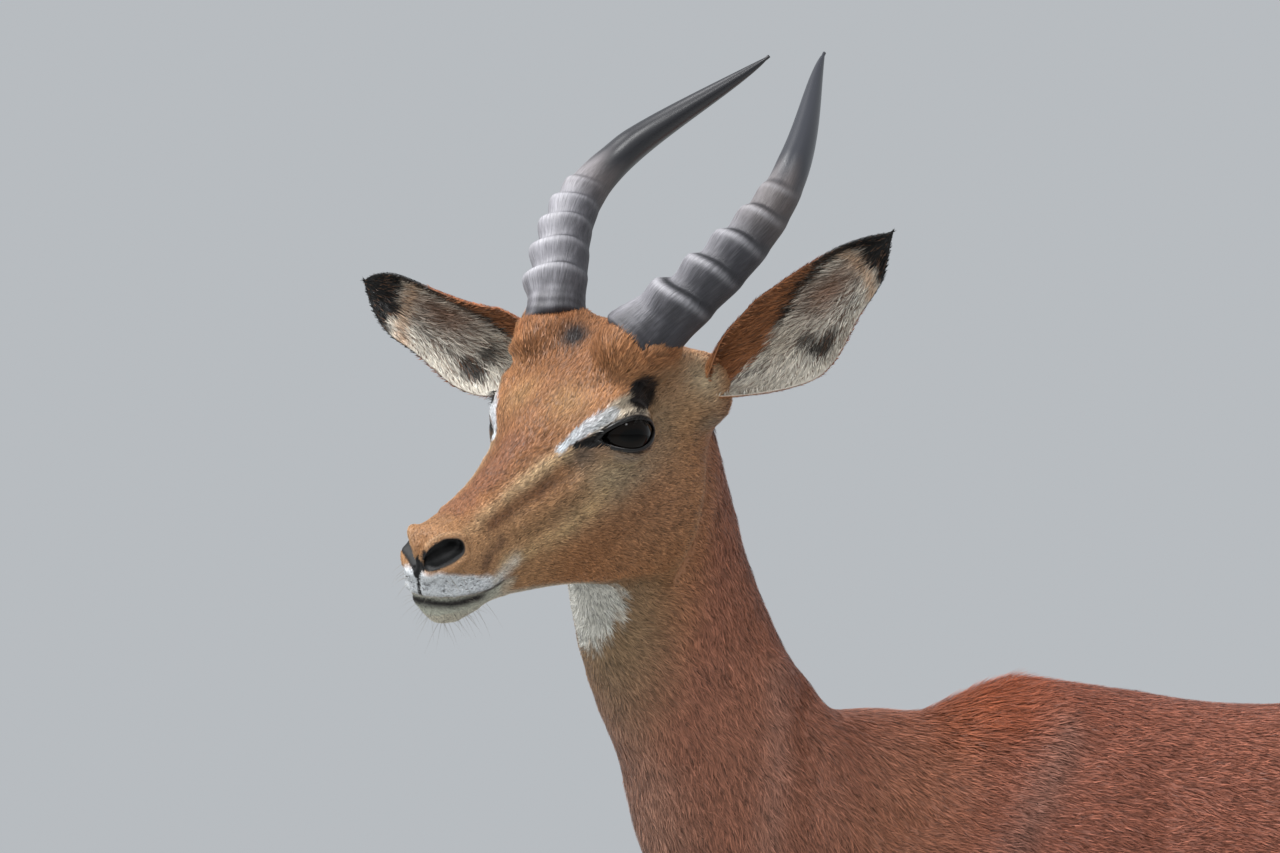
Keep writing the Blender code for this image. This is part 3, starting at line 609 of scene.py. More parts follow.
# Each point of the hide keeps its kind: 0 body and head, 1 back of an ear, 2 its hollow, 3 tail
parts = [(skin_at, [tuple(p.vertices) for p in skin_mesh.polygons], 0, None, None)]
parts.append((tail_points, [tuple(p.vertices) for p in tail_mesh.polygons], 3, None, None))
all_points, all_faces, kinds, ear_shares, ear_acrosses = [], [], [], [], []
for side in (1, -1):
    points, faces, share, across, sheet = ear_sheet(side)
    parts.append((from_head(points), [tuple(f) for f in faces], sheet, share, across))
for points, faces, kind, share, across in parts:
    start = sum(len(p) for p in all_points)
    all_points.append(points)
    all_faces += [tuple(i + start for i in face) for face in faces]
    kinds.append(np.full(len(points), kind) if np.isscalar(kind) else kind)
    ear_shares.append(np.zeros(len(points)) if share is None else share)
    ear_acrosses.append(np.zeros(len(points)) if across is None else across)
skin_at, kinds = np.concatenate(all_points), np.concatenate(kinds)
nostril_depth = np.concatenate([nostril_depth, np.full(len(skin_at) - len(nostril_depth), -99.0)])
ear_shares, ear_acrosses = np.concatenate(ear_shares), np.concatenate(ear_acrosses)
hide = bpy.data.meshes.new("hide")
hide.from_pydata(skin_at.tolist(), [], all_faces)
hide.validate()
faced_outward(hide, cut_in_triangles=True)
skin.data = hide
skin_normals = mesh_normals(hide)

# Markings, the same for hide and hair: chestnut saddle, fawn flanks, white below, and the face's
# pale brow streak, black temple spot, dark nose ridge, white lips with dotted rows, black nose.
# Some light and shade is painted in with them, as said where it is laid.


def ripple(points, size, seed):
    """Smooth unevenness from -1 to 1, its waves about one size long."""
    chance = np.random.default_rng(seed)
    total = np.zeros(len(points))
    for _ in range(7):
        way = unit(chance.normal(size=3)) * 2 * np.pi / (size * chance.uniform(0.6, 1.6))
        total += np.sin(points @ way + chance.uniform(0, 6.28))
    return np.clip(total / 3.2, -1, 1)


def lay(colours, hue, weight):
    """A colour laid over others by a weight at each place."""
    weight = np.clip(weight, 0, 1)[:, None]
    return colours * (1 - weight) + np.array(linear(hue)[:3]) * weight


def all_of(hue, count):
    """One colour for every one of so many points."""
    return np.tile(np.array(linear(hue)[:3]), (count, 1))


def nose_strip(l, u):
    """How far a place is outside the bare strip between the nostrils, millimetres."""
    return np.abs(l) - np.interp(u, [-36, -25, -20, -16, -12, -8], [0.8, 1.1, 2.8, 3.0, 1.5, -1.0])


def toned(colours, change):
    """Red, green and blue changed by a share where the colour is tan, not where it is white."""
    tan = smooth_step(0.25, 0.6, 1 - colours[:, 2] / np.maximum(colours[:, 0], 1e-4))
    return colours * (1 + tan[:, None] * np.array(change))


def face_markings_and_light(colours, places):
    """The face's colours, one laid over another, from places in millimetres of the head."""
    f, l, u = places.T
    both = both_sides(places)
    wobble = ripple(places, 16, 5)
    fine = ripple(places, 5, 6)
    soft = f + 3 * wobble

    def patch(hue, spot, width, weight, sizes=(1, 1, 1)):
        """The colours so far with a soft spot laid over them on both cheeks."""
        return lay(colours, hue, bump(far_from(both, spot, sizes), 0, width) * weight)

    def stripe(hue, line, width, weight, waver=0):
        """The colours so far with a soft line laid over them, wavering a little if asked."""
        return lay(colours, hue, bump(near_line(both, line)[0] + waver * wobble, 0, width) * weight)

    # forehead and crown, warm orange; the cheek browner; the jaw's edge greyer
    gap, _ = near_line(both, ((-40, 6, 60), (10, 0, 54), (60, 0, 26), (90, 0, 14)))
    colours = lay(colours, "#93603f", (1 - smooth_step(22, 46, gap + 4 * wobble)) * 0.9)
    colours = patch("#bd9062", (40, 20, 34), 15, 0.5)
    colours = patch("#98694a", (5, 46, -52), 44, 0.85, (1.2, 1, 1))
    jaw_edge = (1 - smooth_step(-108, -86, u + 4 * wobble)) * smooth_step(-20, 20, f)
    colours = lay(colours, "#8c7459", jaw_edge * 0.75)
    colours = lay(colours, "#b98a62", smooth_step(60, 110, f) * (1 - smooth_step(-12, 2, u)) * 0.7)
    gap, _ = near_line(both, ((64, 0, 26), (100, 0, 13), (142, 0, 6)))
    nose_ridge = (1 - smooth_step(6, 14, gap + 2.5 * wobble)) * smooth_step(62, 74, f)
    colours = lay(colours, "#87563f", nose_ridge * 0.65)
    # painted light: a pale highlight along the edge of the nose bone, and painted shade in the hollow under
    # it
    gap, share = near_line(both, ((60, 30, 9), (98, 19, 2), (150, 18, -4)))
    colours = lay(colours, "#dab389", bump(gap + 1.2 * wobble, 0, 6.0 - 1.5 * share) * (0.95 - 0.55 * share))
    colours = stripe("#643c26", ((60, 35, 2), (84, 27, -4), (105, 22.5, -7), (128, 21, -9)), 5.0, 0.85, 1.2)
    colours = patch("#b9a080", (42, 46, -14), 19, 0.8, (1.25, 1, 1))
    colours = patch("#b08e6c", (74, 36, -28), 14, 0.6, (1.5, 1, 1))
    # temple and ear foot
    colours = patch("#b9a588", (-48, 54, 12), 15, 0.8, (1, 1, 1.3))
    # painted shade: a grey spot under the foot of the ear
    colours = patch("#7b7162", (-47, 53, -18), 11, 0.75)
    colours = patch("#bd8a5e", (-30, 54, -14), 15, 0.6, (1, 1, 1.6))
    # painted highlight along the jaw's rear edge, just before the furrow behind it
    colours = stripe("#b98c68", ((-58, 42, -42), (-37, 51, -64), (-19, 51, -86), (-2, 40, -110)), 5.0, 0.6)
    # behind and under the eye the hair is thin and beige
    colours = patch("#8f7c62", (-14, 56, 4), 18, 0.9, (1.0, 1, 1.7))
    colours = patch("#b09d82", (16, 56, -22), 13, 0.8, (1.8, 1, 0.9))
    colours = stripe("#cda578", ((46, 47, -22), (70, 38, -32), (104, 29, -36), (126, 25, -36)), 6.5, 0.65, 2)
    colours = stripe("#7d5a3b", ((62, 40, -16), (88, 32, -22), (112, 26, -24)), 5.0, 0.45, 1.5)
    # over the eye: pale streak, beige lid, and the black spot on the temple
    local = (both - EYE) @ EYE_AXES.T
    x, y, z = local.T
    upper, lower = lid_edges(x)
    over_lid = y - upper
    on_lid = (z > 0) & (np.hypot(x, y) < 36)
    lid_band = smooth_step(0.5, 2.5, over_lid)
    lid_band = lid_band * (1 - smooth_step(11.0, 14.5, over_lid + 0.6 * fine + 0.10 * (x - 4)))
    lid_band = lid_band * smooth_step(-19, -10, x) * (1 - smooth_step(24, 34, x)) * on_lid
    colours = lay(colours, "#c6b6a1", lid_band * 0.95)
    # painted shade in the crease over the upper lid
    colours = lay(colours, "#8b7a69", bump(over_lid, 6.2, 1.3) * bump(x, 0, 13) * on_lid * 0.75)
    gap, share = near_line(both, ((61.5, 27.5, 12.5), (52, 33.5, 18.0), (40, 41, 22.5), (29, 46, 24)))
    streak = 1 - smooth_step(2.5 + 0.9 * share, 3.9 + 1.4 * share, gap + 0.4 * fine)
    colours = lay(colours, "#d3dae0", streak * (1 - 0.35 * share))
    spot = both - [0, 47.1, 24]
    spot_across, spot_high = unit([-0.618, 0.765, -0.184]), unit([-0.42, -0.13, 0.90])
    off = np.hypot(spot @ spot_across / 8.8, spot @ spot_high / 11.8) + 0.05 * fine
    colours = lay(colours, "#171312", (1 - smooth_step(0.78, 1.12, off)) * (both[:, 1] > 30) * (u > 5))
    # dark skin round the opening of the eye, longest at the inner corner
    beyond = np.maximum(y - upper, lower - y)
    ends = np.maximum(LID_OUTER - x, x - LID_INNER)
    wedge = np.abs(y - 0.2 + 0.20 * (x - 20)) - np.interp(x, [14, 22, 30, 38, 42], [7.0, 5.2, 3.4, 1.4, 0])
    beside = np.maximum(np.abs(y + 1.5 + 0.25 * np.maximum(x - 24, 0)) - 0.6, 0)
    beyond = np.where(ends > 0, np.hypot(ends, beside), beyond)
    near_eye = (z > 2) & (np.hypot(x, y) < 40)
    colours = patch("#6f6257", (54, 38, 6), 8.5, 0.75, (1.3, 1, 1))
    colours = lay(colours, "#8a7a6c", bump(y, lower - 4.5, 3.2) * bump(x, 6, 15) * near_eye * 0.8)
    colours = lay(colours, "#c3ab8b", bump(y, lower - 10.0, 4.0) * bump(x, -6, 15) * near_eye * 0.55)
    colours = lay(colours, "#bfa88a", bump(np.hypot(x + 27, y + 1), 0, 6.5) * near_eye * 0.6)
    colours = patch("#3b2a22", (56.5, 36.5, 6.8), 4.6, 0.8, (1.25, 1, 0.8))
    lid_skin = 1 - smooth_step(1.5, 2.6, beyond - 0.6 * smooth_step(14, 30, x))
    colours = lay(colours, "#14100f", lid_skin * near_eye)
    colours = lay(colours, "#0f0c0b", (1 - smooth_step(-0.3, 1.0, wedge)) * (x > 14) * (x < 42) * near_eye)
    # muzzle: pale above the nostril, white lips with rows of dots, dark lower lip, white chin
    front = smooth_step(134, 150, soft)
    above = u - mouth_height(f)
    colours = lay(colours, "#a3744f", front * (above > 8) * bump(u, 3, 11) * 0.8)
    lip_top = np.interp(f, [120, 134, 150, 160, 176], [5, 8, 11.5, 15, 16.5])
    white_lip = 1 - smooth_step(lip_top - 1.5, lip_top + 2.5, above + 1.2 * wobble)
    white_lip = white_lip * smooth_step(119, 131, soft) * smooth_step(-1, 1, above)
    colours = lay(colours, "#d5d8db", white_lip)
    colours = stripe("#cfc8bc", ((134, 23.5, -43), (119, 26.5, -38)), 5.5, 0.9)
    # painted shade in the crease on the muzzle's side, behind the nostril and above the lip
    colours = stripe("#6a4936", ((126, 26, -20), (135, 26, -24), (143.5, 25, -28)), 4.6, 0.75, 1.0)
    row_height = np.mod(above - 3.4, 3.3) - 1.65
    spacing = np.mod(f + 1.1 * np.floor((above - 3.4) / 3.3), 4.3) - 2.15
    on_lip = (above > 3.4) & (above < 14) & (f > 150) & (both[:, 1] > 3)
    dots = (np.hypot(row_height, spacing) < 0.55) & on_lip
    colours = lay(colours, "#2a282b", dots * white_lip * 0.85)
    chin = (1 - smooth_step(-1, 1, above)) * smooth_step(112, 132, soft) * (f < 200)
    colours = lay(colours, "#c3c3b4", chin)
    under_jaw = (1 - smooth_step(9, 17, both[:, 1])) * (u < -50) * smooth_step(20, 60, f)
    colours = lay(colours, "#c3b9a6", under_jaw * 0.8)
    gap, _ = near_line(both, MOUTH)
    lower_lip = bump(above, -3.7 - 0.9 * smooth_step(150, 172, f), 3.5) * smooth_step(134, 150, f)
    colours = lay(colours, "#231d1c", lower_lip)
    colours = lay(colours, "#171313", (1 - smooth_step(0.9, 1.9, gap)) * (f > 124))
    corner = bump(above, -0.4, 1.4) * smooth_step(122, 127, f) * (1 - smooth_step(142, 150, f))
    colours = lay(colours, "#231d1c", corner * (both[:, 1] > 12) * 0.95)
    # bare black nose: the nostrils, the strip between them and the groove down to the lip
    colours = lay(colours, "#c99870", bump(nostril_edge(both), -3.2, 1.6) * smooth_step(-6, -1, u) * 0.8)
    colours = lay(colours, "#0c0b0b", smooth_step(-0.9, 0.3, nostril_edge(both)))
    strip = (1 - smooth_step(0, 0.9, nose_strip(l, u))) * (f > 168) * smooth_step(-37, -35, u) * (u < -7)
    colours = lay(colours, "#100f10", strip)
    nose_lines = (
        (((175, 0.5, -18), (175.5, 4.5, -12), (173.5, 8, -6), (169, 12, -2)), 1.6),
        (((164, -15, -8), (166.8, -14.9, -14.7), (172.3, -6.4, -16.7), (176.1, -0.8, -19.5)), 2.6),
        (((175.5, 0, -18.5), (174.2, 7, -17.0), (171.5, 13.5, -15.5)), 2.2),
        (((176.1, -0.6, -19), (177.2, -1, -28), (177.5, -1.5, -34)), 0.9),
    )      # left nostril's upper rim, right nostril's, left one's lower rim, and the groove to the lip
    for line, radius in nose_lines:
        gap, _ = near_line(places, line)
        colours = lay(colours, "#0c0b0c", 1 - smooth_step(radius - 0.4, radius + 0.4, gap))
    # between the horns: a dark patch, and redder hair below it
    colours = lay(colours, "#2e2624", bump(far_from(places, (-7, -6, 52), (1.6, 1.1, 1.6)), 0, 7.5) * 1.2)
    colours = stripe("#8f4d26", ((-20, 58, 44), (-6, 52, 44), (2, 40, 54), (-14, 22, 60)), 6, 0.6)
    return toned(colours, (-0.12, -0.03, 0.0))


def body_markings_and_sheen(colours, points, outward):
    """The colours of neck, saddle, flank, belly, legs and rump."""
    along, high = points[:, 0] - WITHERS[0], points[:, 2]
    aside = np.abs(points[:, 1] - WITHERS[1])
    wobble = ripple(points, 0.05, 8)
    places = to_head(points)
    # neck: greyish red-brown, a darker nape, paler throat
    trunk = smooth_step(-0.16, -0.02, along + 0.35 * (0.80 - high))
    colours = lay(colours, "#9a6249", 1 - trunk)
    nape = smooth_step(0.2, 0.9, outward[:, 2] + 0.5 * outward[:, 0]) * (1 - trunk)
    colours = lay(colours, "#8c543d", nape * 0.7)
    colours = lay(colours, "#a97e66", smooth_step(0.35, 0.95, -outward[:, 0]) * (1 - trunk) * 0.6)
    # saddle down to a soft line along the flank, then fawn, then white belly
    line = 0.698 + 0.004 * wobble - 0.05 * smooth_step(0.10, -0.10, along)
    colours = lay(colours, "#955740", trunk * smooth_step(line - 0.022, line + 0.022, high))
    colours = lay(colours, "#b27c56", trunk * (1 - smooth_step(line - 0.022, line + 0.022, high)))
    colours = lay(colours, "#80432e", trunk * smooth_step(0.825, 0.880, high) * 0.6)
    belly = smooth_step(0.30, 0.62, -outward[:, 2] + 0.04 * wobble) * (high > 0.42)
    belly = belly * smooth_step(-0.16, -0.05, along)
    colours = lay(colours, "#d8d2c6", belly * (1 - smooth_step(0.60, 0.68, high)))
    # legs: fawn outside, white within, paler down the back
    leg = smooth_step(0.56, 0.50, high)
    colours = lay(colours, "#b0805a", leg * (1 - belly))
    inner_side = -outward[:, 1] * np.sign(points[:, 1] - WITHERS[1])
    inner_side = smooth_step(0.1, 0.6, inner_side) * smooth_step(0.62, 0.50, high)
    colours = lay(colours, "#d3c7b4", inner_side * 0.85)
    tuft = bump(high, 0.165, 0.030) * smooth_step(0.0, 0.6, outward[:, 0]) * (along > 0.4)
    colours = lay(colours, "#171413", tuft * 1.1)
    # rump: pale round the tail, one black stripe down each buttock
    rear = smooth_step(0.30, 0.75, outward[:, 0]) * (along > 0.5) * smooth_step(0.50, 0.58, high)
    colours = lay(colours, "#d5ccbc", rear * (1 - smooth_step(0.030, 0.045, aside)) * 0.9)
    stripe = bump(aside, 0.052 + 0.06 * (0.72 - high), 0.012) * (along > 0.53)
    stripe = stripe * smooth_step(0.56, 0.62, high) * (1 - smooth_step(0.79, 0.83, high))
    colours = lay(colours, "#141110", stripe * 1.3 * smooth_step(-0.05, 0.3, outward[:, 0]))
    # redder hair stands along the withers; a painted sheen of pale highlights lies on the left shoulder's
    # ridges
    crest = bump(along, -0.030, 0.045) * smooth_step(0.80, 0.85, high) * smooth_step(0.3, 0.9, outward[:, 2])
    colours = lay(colours, "#9c4a24", crest * 0.6)
    sheen_highlight_lines = (
        (((0.012, 0.835), (-0.032, 0.767), (-0.070, 0.70)), 0.013, 0.28),
        (((-0.182, 0.880), (-0.192, 0.770), (-0.185, 0.69)), 0.010, 0.20),
    )
    for line, width, weight in sheen_highlight_lines:
        gap, _ = near_line(np.stack([along, high], axis=1), line)
        on_left = smooth_step(0.2, 0.7, -outward[:, 1])
        colours = lay(colours, "#b58b76", bump(gap, 0, width) * on_left * weight)
    return toned(colours, (-0.03, 0.06, 0.20))


def markings_and_light(points, outward, kind, share, across):
    """The coat's colour (linear) at any place of the hide."""
    colours = all_of("#a9714a", len(points))
    head = head_share(points)[:, None]
    places = to_head(points)
    colours = body_markings_and_sheen(colours, points, outward) * (1 - head) + face_markings_and_light(colours, places) * head
    # white patch at the top of the throat, under the jaw
    gap, down = near_line(places, ((20, -15, -112), (21, -18, -124), (27, -25, -140)))
    patch_edge = 27 - 13 * down
    throat = 1 - smooth_step(patch_edge - 5, patch_edge + 4, gap + 4.0 * ripple(places, 7, 3))
    colours = lay(colours, "#cbc8bf", throat * (places[:, 2] < -100))
    wobble = ripple(points, 0.012, 11)
    # ears: red-brown backs, black tips and front margins, white hair inside over a brown hollow
    back, hollow = kind == 1, kind == 2
    back_colour = all_of("#9d5f3b", len(points))
    back_colour = lay(back_colour, "#b98659", smooth_step(0.25, 0.0, share) * 0.7)
    black_tip = smooth_step(0.72, 0.79, share + 0.03 * wobble + 0.05 * np.abs(across))
    back_colour = lay(back_colour, "#100e0d", black_tip)
    upper = -across * np.where(places[:, 1] > 0, 1, -1) + 0.03 * wobble
    inside = all_of("#d3ccbf", len(points))
    inside = lay(inside, "#875d45", bump(share, 0.60, 0.17) * bump(upper, 0.22, 0.42) * 0.85)
    inside = lay(inside, "#a08769", bump(share, 0.30, 0.12) * bump(upper, -0.1, 0.4) * 0.35)
    inside = lay(inside, "#b07f4f", bump(share, 0.775, 0.035) * 0.6)
    # the rolled upper margin shows the red-brown back; a black line parts it from the white hair
    roll_edge = np.interp(share, [0, 0.09, 0.31, 0.52, 0.68, 1], [-0.40, -0.25, 0.24, 0.72, 0.88, 0.92])
    rolled = smooth_step(-0.05, 0.03, upper - roll_edge) * smooth_step(0.92, 0.80, share)
    inside = lay(inside, "#98623f", rolled)
    black_line = 1 - smooth_step(0.05, 0.11, np.abs(upper - roll_edge + 0.04))
    black_line = black_line * smooth_step(0.27, 0.37, share)
    black_line = np.maximum(black_line, smooth_step(0.84, 0.94, upper) * smooth_step(0.58, 0.70, share))
    inside = lay(inside, "#15120f", black_line * 0.97)
    # two dark patches of bare skin low in the hollow, painted shade in the creases, and the black tip
    lower_patch = np.hypot((upper + 0.66) / 0.20, (share - 0.455) / 0.085) + 0.25 * wobble
    inner_patch = np.hypot((upper + 0.30) / 0.20, (share - 0.385) / 0.055) + 0.25 * wobble
    lower_dark = 1 - smooth_step(0.7, 1.2, lower_patch)
    inner_dark = (1 - smooth_step(0.6, 1.3, inner_patch)) * 0.85
    inside = lay(inside, "#1a1512", np.maximum(lower_dark, inner_dark) * 0.95)
    # painted shade along the ear's creases
    crease = bump(upper, np.interp(share, [0.55, 0.65, 0.72], [-0.58, -0.50, -0.20]), 0.05)
    crease = crease * smooth_step(0.50, 0.56, share) * smooth_step(0.76, 0.70, share)
    crease = np.maximum(crease, bump(upper, -0.35, 0.04) * bump(share, 0.12, 0.10))
    inside = lay(inside, "#2a211d", crease * 0.9)
    inside = lay(inside, "#100e0d", smooth_step(0.79, 0.83, share + 0.02 * wobble - 0.03 * (upper < -0.5)))
    colours = np.where(back[:, None], back_colour, np.where(hollow[:, None], inside, colours))
    # tail: white, with a dark line down its back
    tail = kind == 3
    line = smooth_step(0.0, 0.6, outward[:, 0]) * bump(points[:, 1], WITHERS[1], 0.010)
    tail_colour = lay(all_of("#d9d3c8", len(points)), "#171413", line * 1.2)
    return np.clip(np.where(tail[:, None], tail_colour, colours), 0, 1)


hide_colours = markings_and_light(skin_at, skin_normals, kinds, ear_shares, ear_acrosses)
# inside each nostril the black skin is darkened further: painted shade in the hollow
hide_colours = lay(hide_colours, "#050505", smooth_step(-1.2, 0.0, nostril_depth))


def store_colours(mesh, colours):
    """Keeps a colour for each point, where the material finds it."""
    layer = mesh.attributes.new("surface_colour", "FLOAT_COLOR", "POINT")
    layer.data.foreach_set("color", np.hstack([colours, np.ones((len(colours), 1))]).ravel())


def add_node(material, kind, settings=None, links=None):
    """One node with its settings, each input named in links joined to another node's output."""
    tree = material.node_tree
    node = tree.nodes.new(kind)
    for name, value in (settings or {}).items():
        if name in node.inputs:
            node.inputs[name].default_value = value
        else:
            setattr(node, name, value)
    for name, output in (links or {}).items():
        tree.links.new(output, node.inputs[name])
    return node


store_colours(hide, hide_colours)
# The hide under the hair is matt, so that only the hair over it shines
hide_material, hide_shader = new_material("hide under short hair", "#a9714a", 0.62)
colour_node = add_node(hide_material, "ShaderNodeAttribute", {"attribute_name": "surface_colour"})
hide_material.node_tree.links.new(colour_node.outputs["Color"], hide_shader.inputs["Base Color"])
hide.materials.append(hide_material)
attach(skin, "root")
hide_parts(*FLESH, "ear_left", "ear_right", "tail")

# ---------------------------------------------------------------------------------------------
# The coat: short glossy hair in thin overlapping tufts, each a narrow blade that tapers to a
# point, rooted in the hide and lying along the body. Shortest on the muzzle and the shanks.

# The hide laid out flat: the bake's map takes each tuft's place from it
bpy.context.view_layer.objects.active = skin
skin.select_set(True)
bpy.ops.object.mode_set(mode="EDIT")
bpy.ops.mesh.select_all(action="SELECT")
bpy.ops.uv.smart_project(angle_limit=math.radians(66), island_margin=0.001)
bpy.ops.object.mode_set(mode="OBJECT")


def mesh_corners(mesh):
    """The point at each corner of each face, face by face."""
    return measures(mesh.loops, "vertex_index", 1, np.int64)[:, 0]


corners = mesh_corners(hide).reshape(-1, 3)
unwrap = measures(hide.uv_layers[0].data, "uv", 2).reshape(-1, 3, 2)


def lie_of_hair(points, outward, kind, share, across):
    """The way the hair lies, along the hide: nose to crown, down the neck, back and down the body."""
    places = to_head(points)
    f, l, u = places.T
    rise = 0.50 * smooth_step(12, 44, u) - 0.62 * smooth_step(-2, -60, u) * smooth_step(120, 60, f)
    spread = 0.22 * np.sign(l) * smooth_step(10, 50, u) * smooth_step(60, 0, f)
    both = both_sides(places)
    rise = rise + 1.2 * bump(far_from(both, (-7, 27, 62)), 0, 14)
    rise = rise + 0.65 * bump(far_from(both, EYE), 24, 12) * np.sign(u - EYE[2] + 2) * smooth_step(30, -5, f)
    on_head = np.stack([-np.ones(len(f)), spread, rise], axis=1) @ HEAD_AXES
    along, high = points[:, 0] - WITHERS[0], points[:, 2]
    on_neck = np.array([0.46, 0.12, -0.86])
    on_trunk = np.stack([0.92 - 0.5 * smooth_step(0.45, 0.62, along), np.zeros(len(f)),
                         -0.30 - 0.5 * smooth_step(0.78, 0.60, high)], axis=1)
    trunk = smooth_step(-0.16, 0.00, along + 0.35 * (0.80 - high))[:, None]
    leg = smooth_step(0.58, 0.46, high)[:, None]
    lie = on_neck * (1 - trunk) + on_trunk * trunk
    lie = lie * (1 - leg) + np.array([0.08, 0, -1.0]) * leg
    head = head_share(points)[:, None]
    lie = unit(on_head) * head + unit(lie) * (1 - head)
    lie = np.where((kind == 3)[:, None], np.array([0.1, 0, -1.0]), lie)
    for side, form in EARS.items():
        way, _, sideways = [direction @ HEAD_AXES for direction in ear_ways(form)]
        on_ear = (kind > 0) & (kind < 3) & (np.sign(l) == side)
        toward_edge = way * 0.8 - sideways * (across * 0.75)[:, None]
        lie = np.where((on_ear & (kind == 2))[:, None], toward_edge, lie)
        lie = np.where((on_ear & (kind == 1))[:, None], way + sideways * (across * 0.3)[:, None], lie)
    lie = lie - outward * np.sum(lie * outward, axis=1, keepdims=True)
    return unit(lie)


def hair_form(points, outward, kind, share, across):
    """Length, width and rise of the tufts in millimetres, and how many grow on a square millimetre."""
    places = to_head(points)
    both = both_sides(places)
    f, l, u = places.T
    head = head_share(points)
    muzzle = smooth_step(70, 150, f) * head
    high = points[:, 2]
    along = points[:, 0] - WITHERS[0]
    shank = smooth_step(0.52, 0.36, high)
    length = 9.5 * (1 - head) + (4.8 - 1.8 * muzzle - 1.2 * smooth_step(140, 160, f)) * head
    length += 4 * smooth_step(0.0, 0.6, -outward[:, 2]) * (1 - head) * (high > 0.45)
    length += 4 * bump(np.linalg.norm(places - [22, -8, -130], axis=1), 0, 32)
    length = length * (1 - 0.35 * shank)
    width = 0.80 * (1 - head) + (0.62 - 0.17 * muzzle) * head - 0.15 * shank * (1 - head)
    rise = 1.3 * (1 - head) + (0.70 - 0.28 * muzzle) * head
    rise = rise * (1 - 0.45 * shank)
    density = 0.36 * (1 - head) + (1.25 + 0.75 * muzzle) * head
    neck = smooth_step(0.04, -0.08, along + 0.35 * (0.80 - high)) * (1 - head)
    density += 0.25 * neck
    width -= 0.12 * neck
    crest = bump(along, -0.030, 0.045) * smooth_step(0.80, 0.85, high) * smooth_step(0.2, 0.8, outward[:, 2])
    length, rise, density = length + 8 * crest, rise + 3.6 * crest, density + 0.20 * crest
    # the hair before the horns stands up a little, and long pale hair lines the ears
    collar = bump(far_from(both, (-10, 34, 48)), 25, 9) * (u > 25)
    length, rise = length + 1.6 * collar, rise + 0.8 * collar
    peak = bump(far_from(both, (-3, 36, 62)), 0, 13)
    length, rise, density = length + 4 * peak, rise + 3.2 * peak, density + 0.8 * peak
    rim = smooth_step(0.80, 0.98, share) + smooth_step(0.80, 0.98, np.abs(across))
    on_back = (5.0 - 1.2 * rim) * (1 - 0.5 * smooth_step(0.88, 0.97, share))
    in_hollow = 12 - 5 * smooth_step(0.55, 0.95, share) - 8 * smooth_step(0.70, 0.95, np.abs(across))
    in_hollow = np.maximum(in_hollow, 3) * (1 - 0.5 * smooth_step(0.86, 0.96, share))
    by_kind = {
        1: (on_back, 0.6, 0.7, 0.9),
        2: (in_hollow, 0.55, 2.4 - 1.9 * smooth_step(0.55, 0.85, share), 0.75),
        3: (26 + 16 * smooth_step(0.70, 0.58, high), 1.0, 3.0, 0.55),
    }
    for number, form in by_kind.items():
        length, width, rise, density = [
            np.where(kind == number, new, old) for new, old in zip(form, (length, width, rise, density))]
    # none on the bare nose, in the nostrils, the mouth line or the opening of the eye
    local = (both - EYE) @ EYE_AXES.T
    upper, lower = lid_edges(local[:, 0])
    beyond = np.maximum(local[:, 1] - upper, lower - local[:, 1])
    open_eye = (beyond < 1.6) & (local[:, 0] > LID_OUTER - 1) & (local[:, 0] < LID_INNER + 2)
    open_eye &= (local[:, 2] > 2) & (far_from(both, EYE) < 32)
    gap, _ = near_line(both, MOUTH)
    bare = open_eye | ((nostril_edge(both) > -0.6) & (f > 150)) | ((gap < 1.1) & (f > 130))
    bare |= (nose_strip(l, u) < 0.5) & (f > 168) & (u < -7) & (u > -37)
    density = np.where(bare & (kind == 0), 0, density)
    return length, width, rise, density


def blades(points, outward, lie, length, width, rise, bend):
    """Four corners for each blade: the root, two in the middle and the tip."""
    across = np.cross(outward, lie)
    root = points - outward * 0.35 * MM
    middle = points + lie * (length * 0.42)[:, None] + outward * (rise * 0.60)[:, None]
    middle = middle + across * (bend * 0.3)[:, None]
    tip = points + lie * length[:, None] + outward * rise[:, None] + across * bend[:, None]
    half = across * (width / 2)[:, None]
    return np.stack([root, middle - half, middle + half, tip], axis=1)


# Hair is smooth and waxy: each tuft takes a soft highlight along its length
coat_material, coat_shader = new_material("short glossy hair", "#a9714a", 0.46)
coat_shader.inputs["Specular IOR Level"].default_value = 0.25
colour_node = add_node(coat_material, "ShaderNodeAttribute", {"attribute_name": "surface_colour"})
coat_material.node_tree.links.new(colour_node.outputs["Color"], coat_shader.inputs["Base Color"])
PATCH = 0.003     # how wide each tuft's patch is on the bake's map


def coat_piece(name, blade_points, normals, colours, unwrapped):
    """One piece of the coat: its blades, their colours, the hide's own normals, and the bake's map."""
    count = len(blade_points)
    mesh = bpy.data.meshes.new(name)
    mesh.vertices.add(count * 4)
    mesh.vertices.foreach_set("co", blade_points.reshape(-1))
    base = (np.arange(count) * 4)[:, None]
    index = np.concatenate([base + np.array([0, 1, 2]), base + np.array([1, 3, 2])], axis=1)
    mesh.loops.add(count * 6)
    mesh.loops.foreach_set("vertex_index", index.ravel())
    mesh.polygons.add(count * 2)
    mesh.polygons.foreach_set("loop_start", np.arange(count * 2) * 3)
    mesh.polygons.foreach_set("use_smooth", np.ones(count * 2, bool))
    corner = np.array([[0.0, -0.5], [-0.5, 0.0], [0.5, 0.0], [0.0, 0.5]]) * PATCH
    places = (unwrapped[:, None, :] + corner).reshape(-1, 2)
    layer = mesh.uv_layers.new(name="OFBake")
    layer.data.foreach_set("uv", places[index.ravel()].ravel())
    mesh.update(calc_edges=True)
    store_colours(mesh, colours.reshape(-1, 3))
    mesh.normals_split_custom_set_from_vertices(normals.reshape(-1, 3))
    mesh.materials.append(coat_material)
    made = linked(name, mesh)
    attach(made, "root")


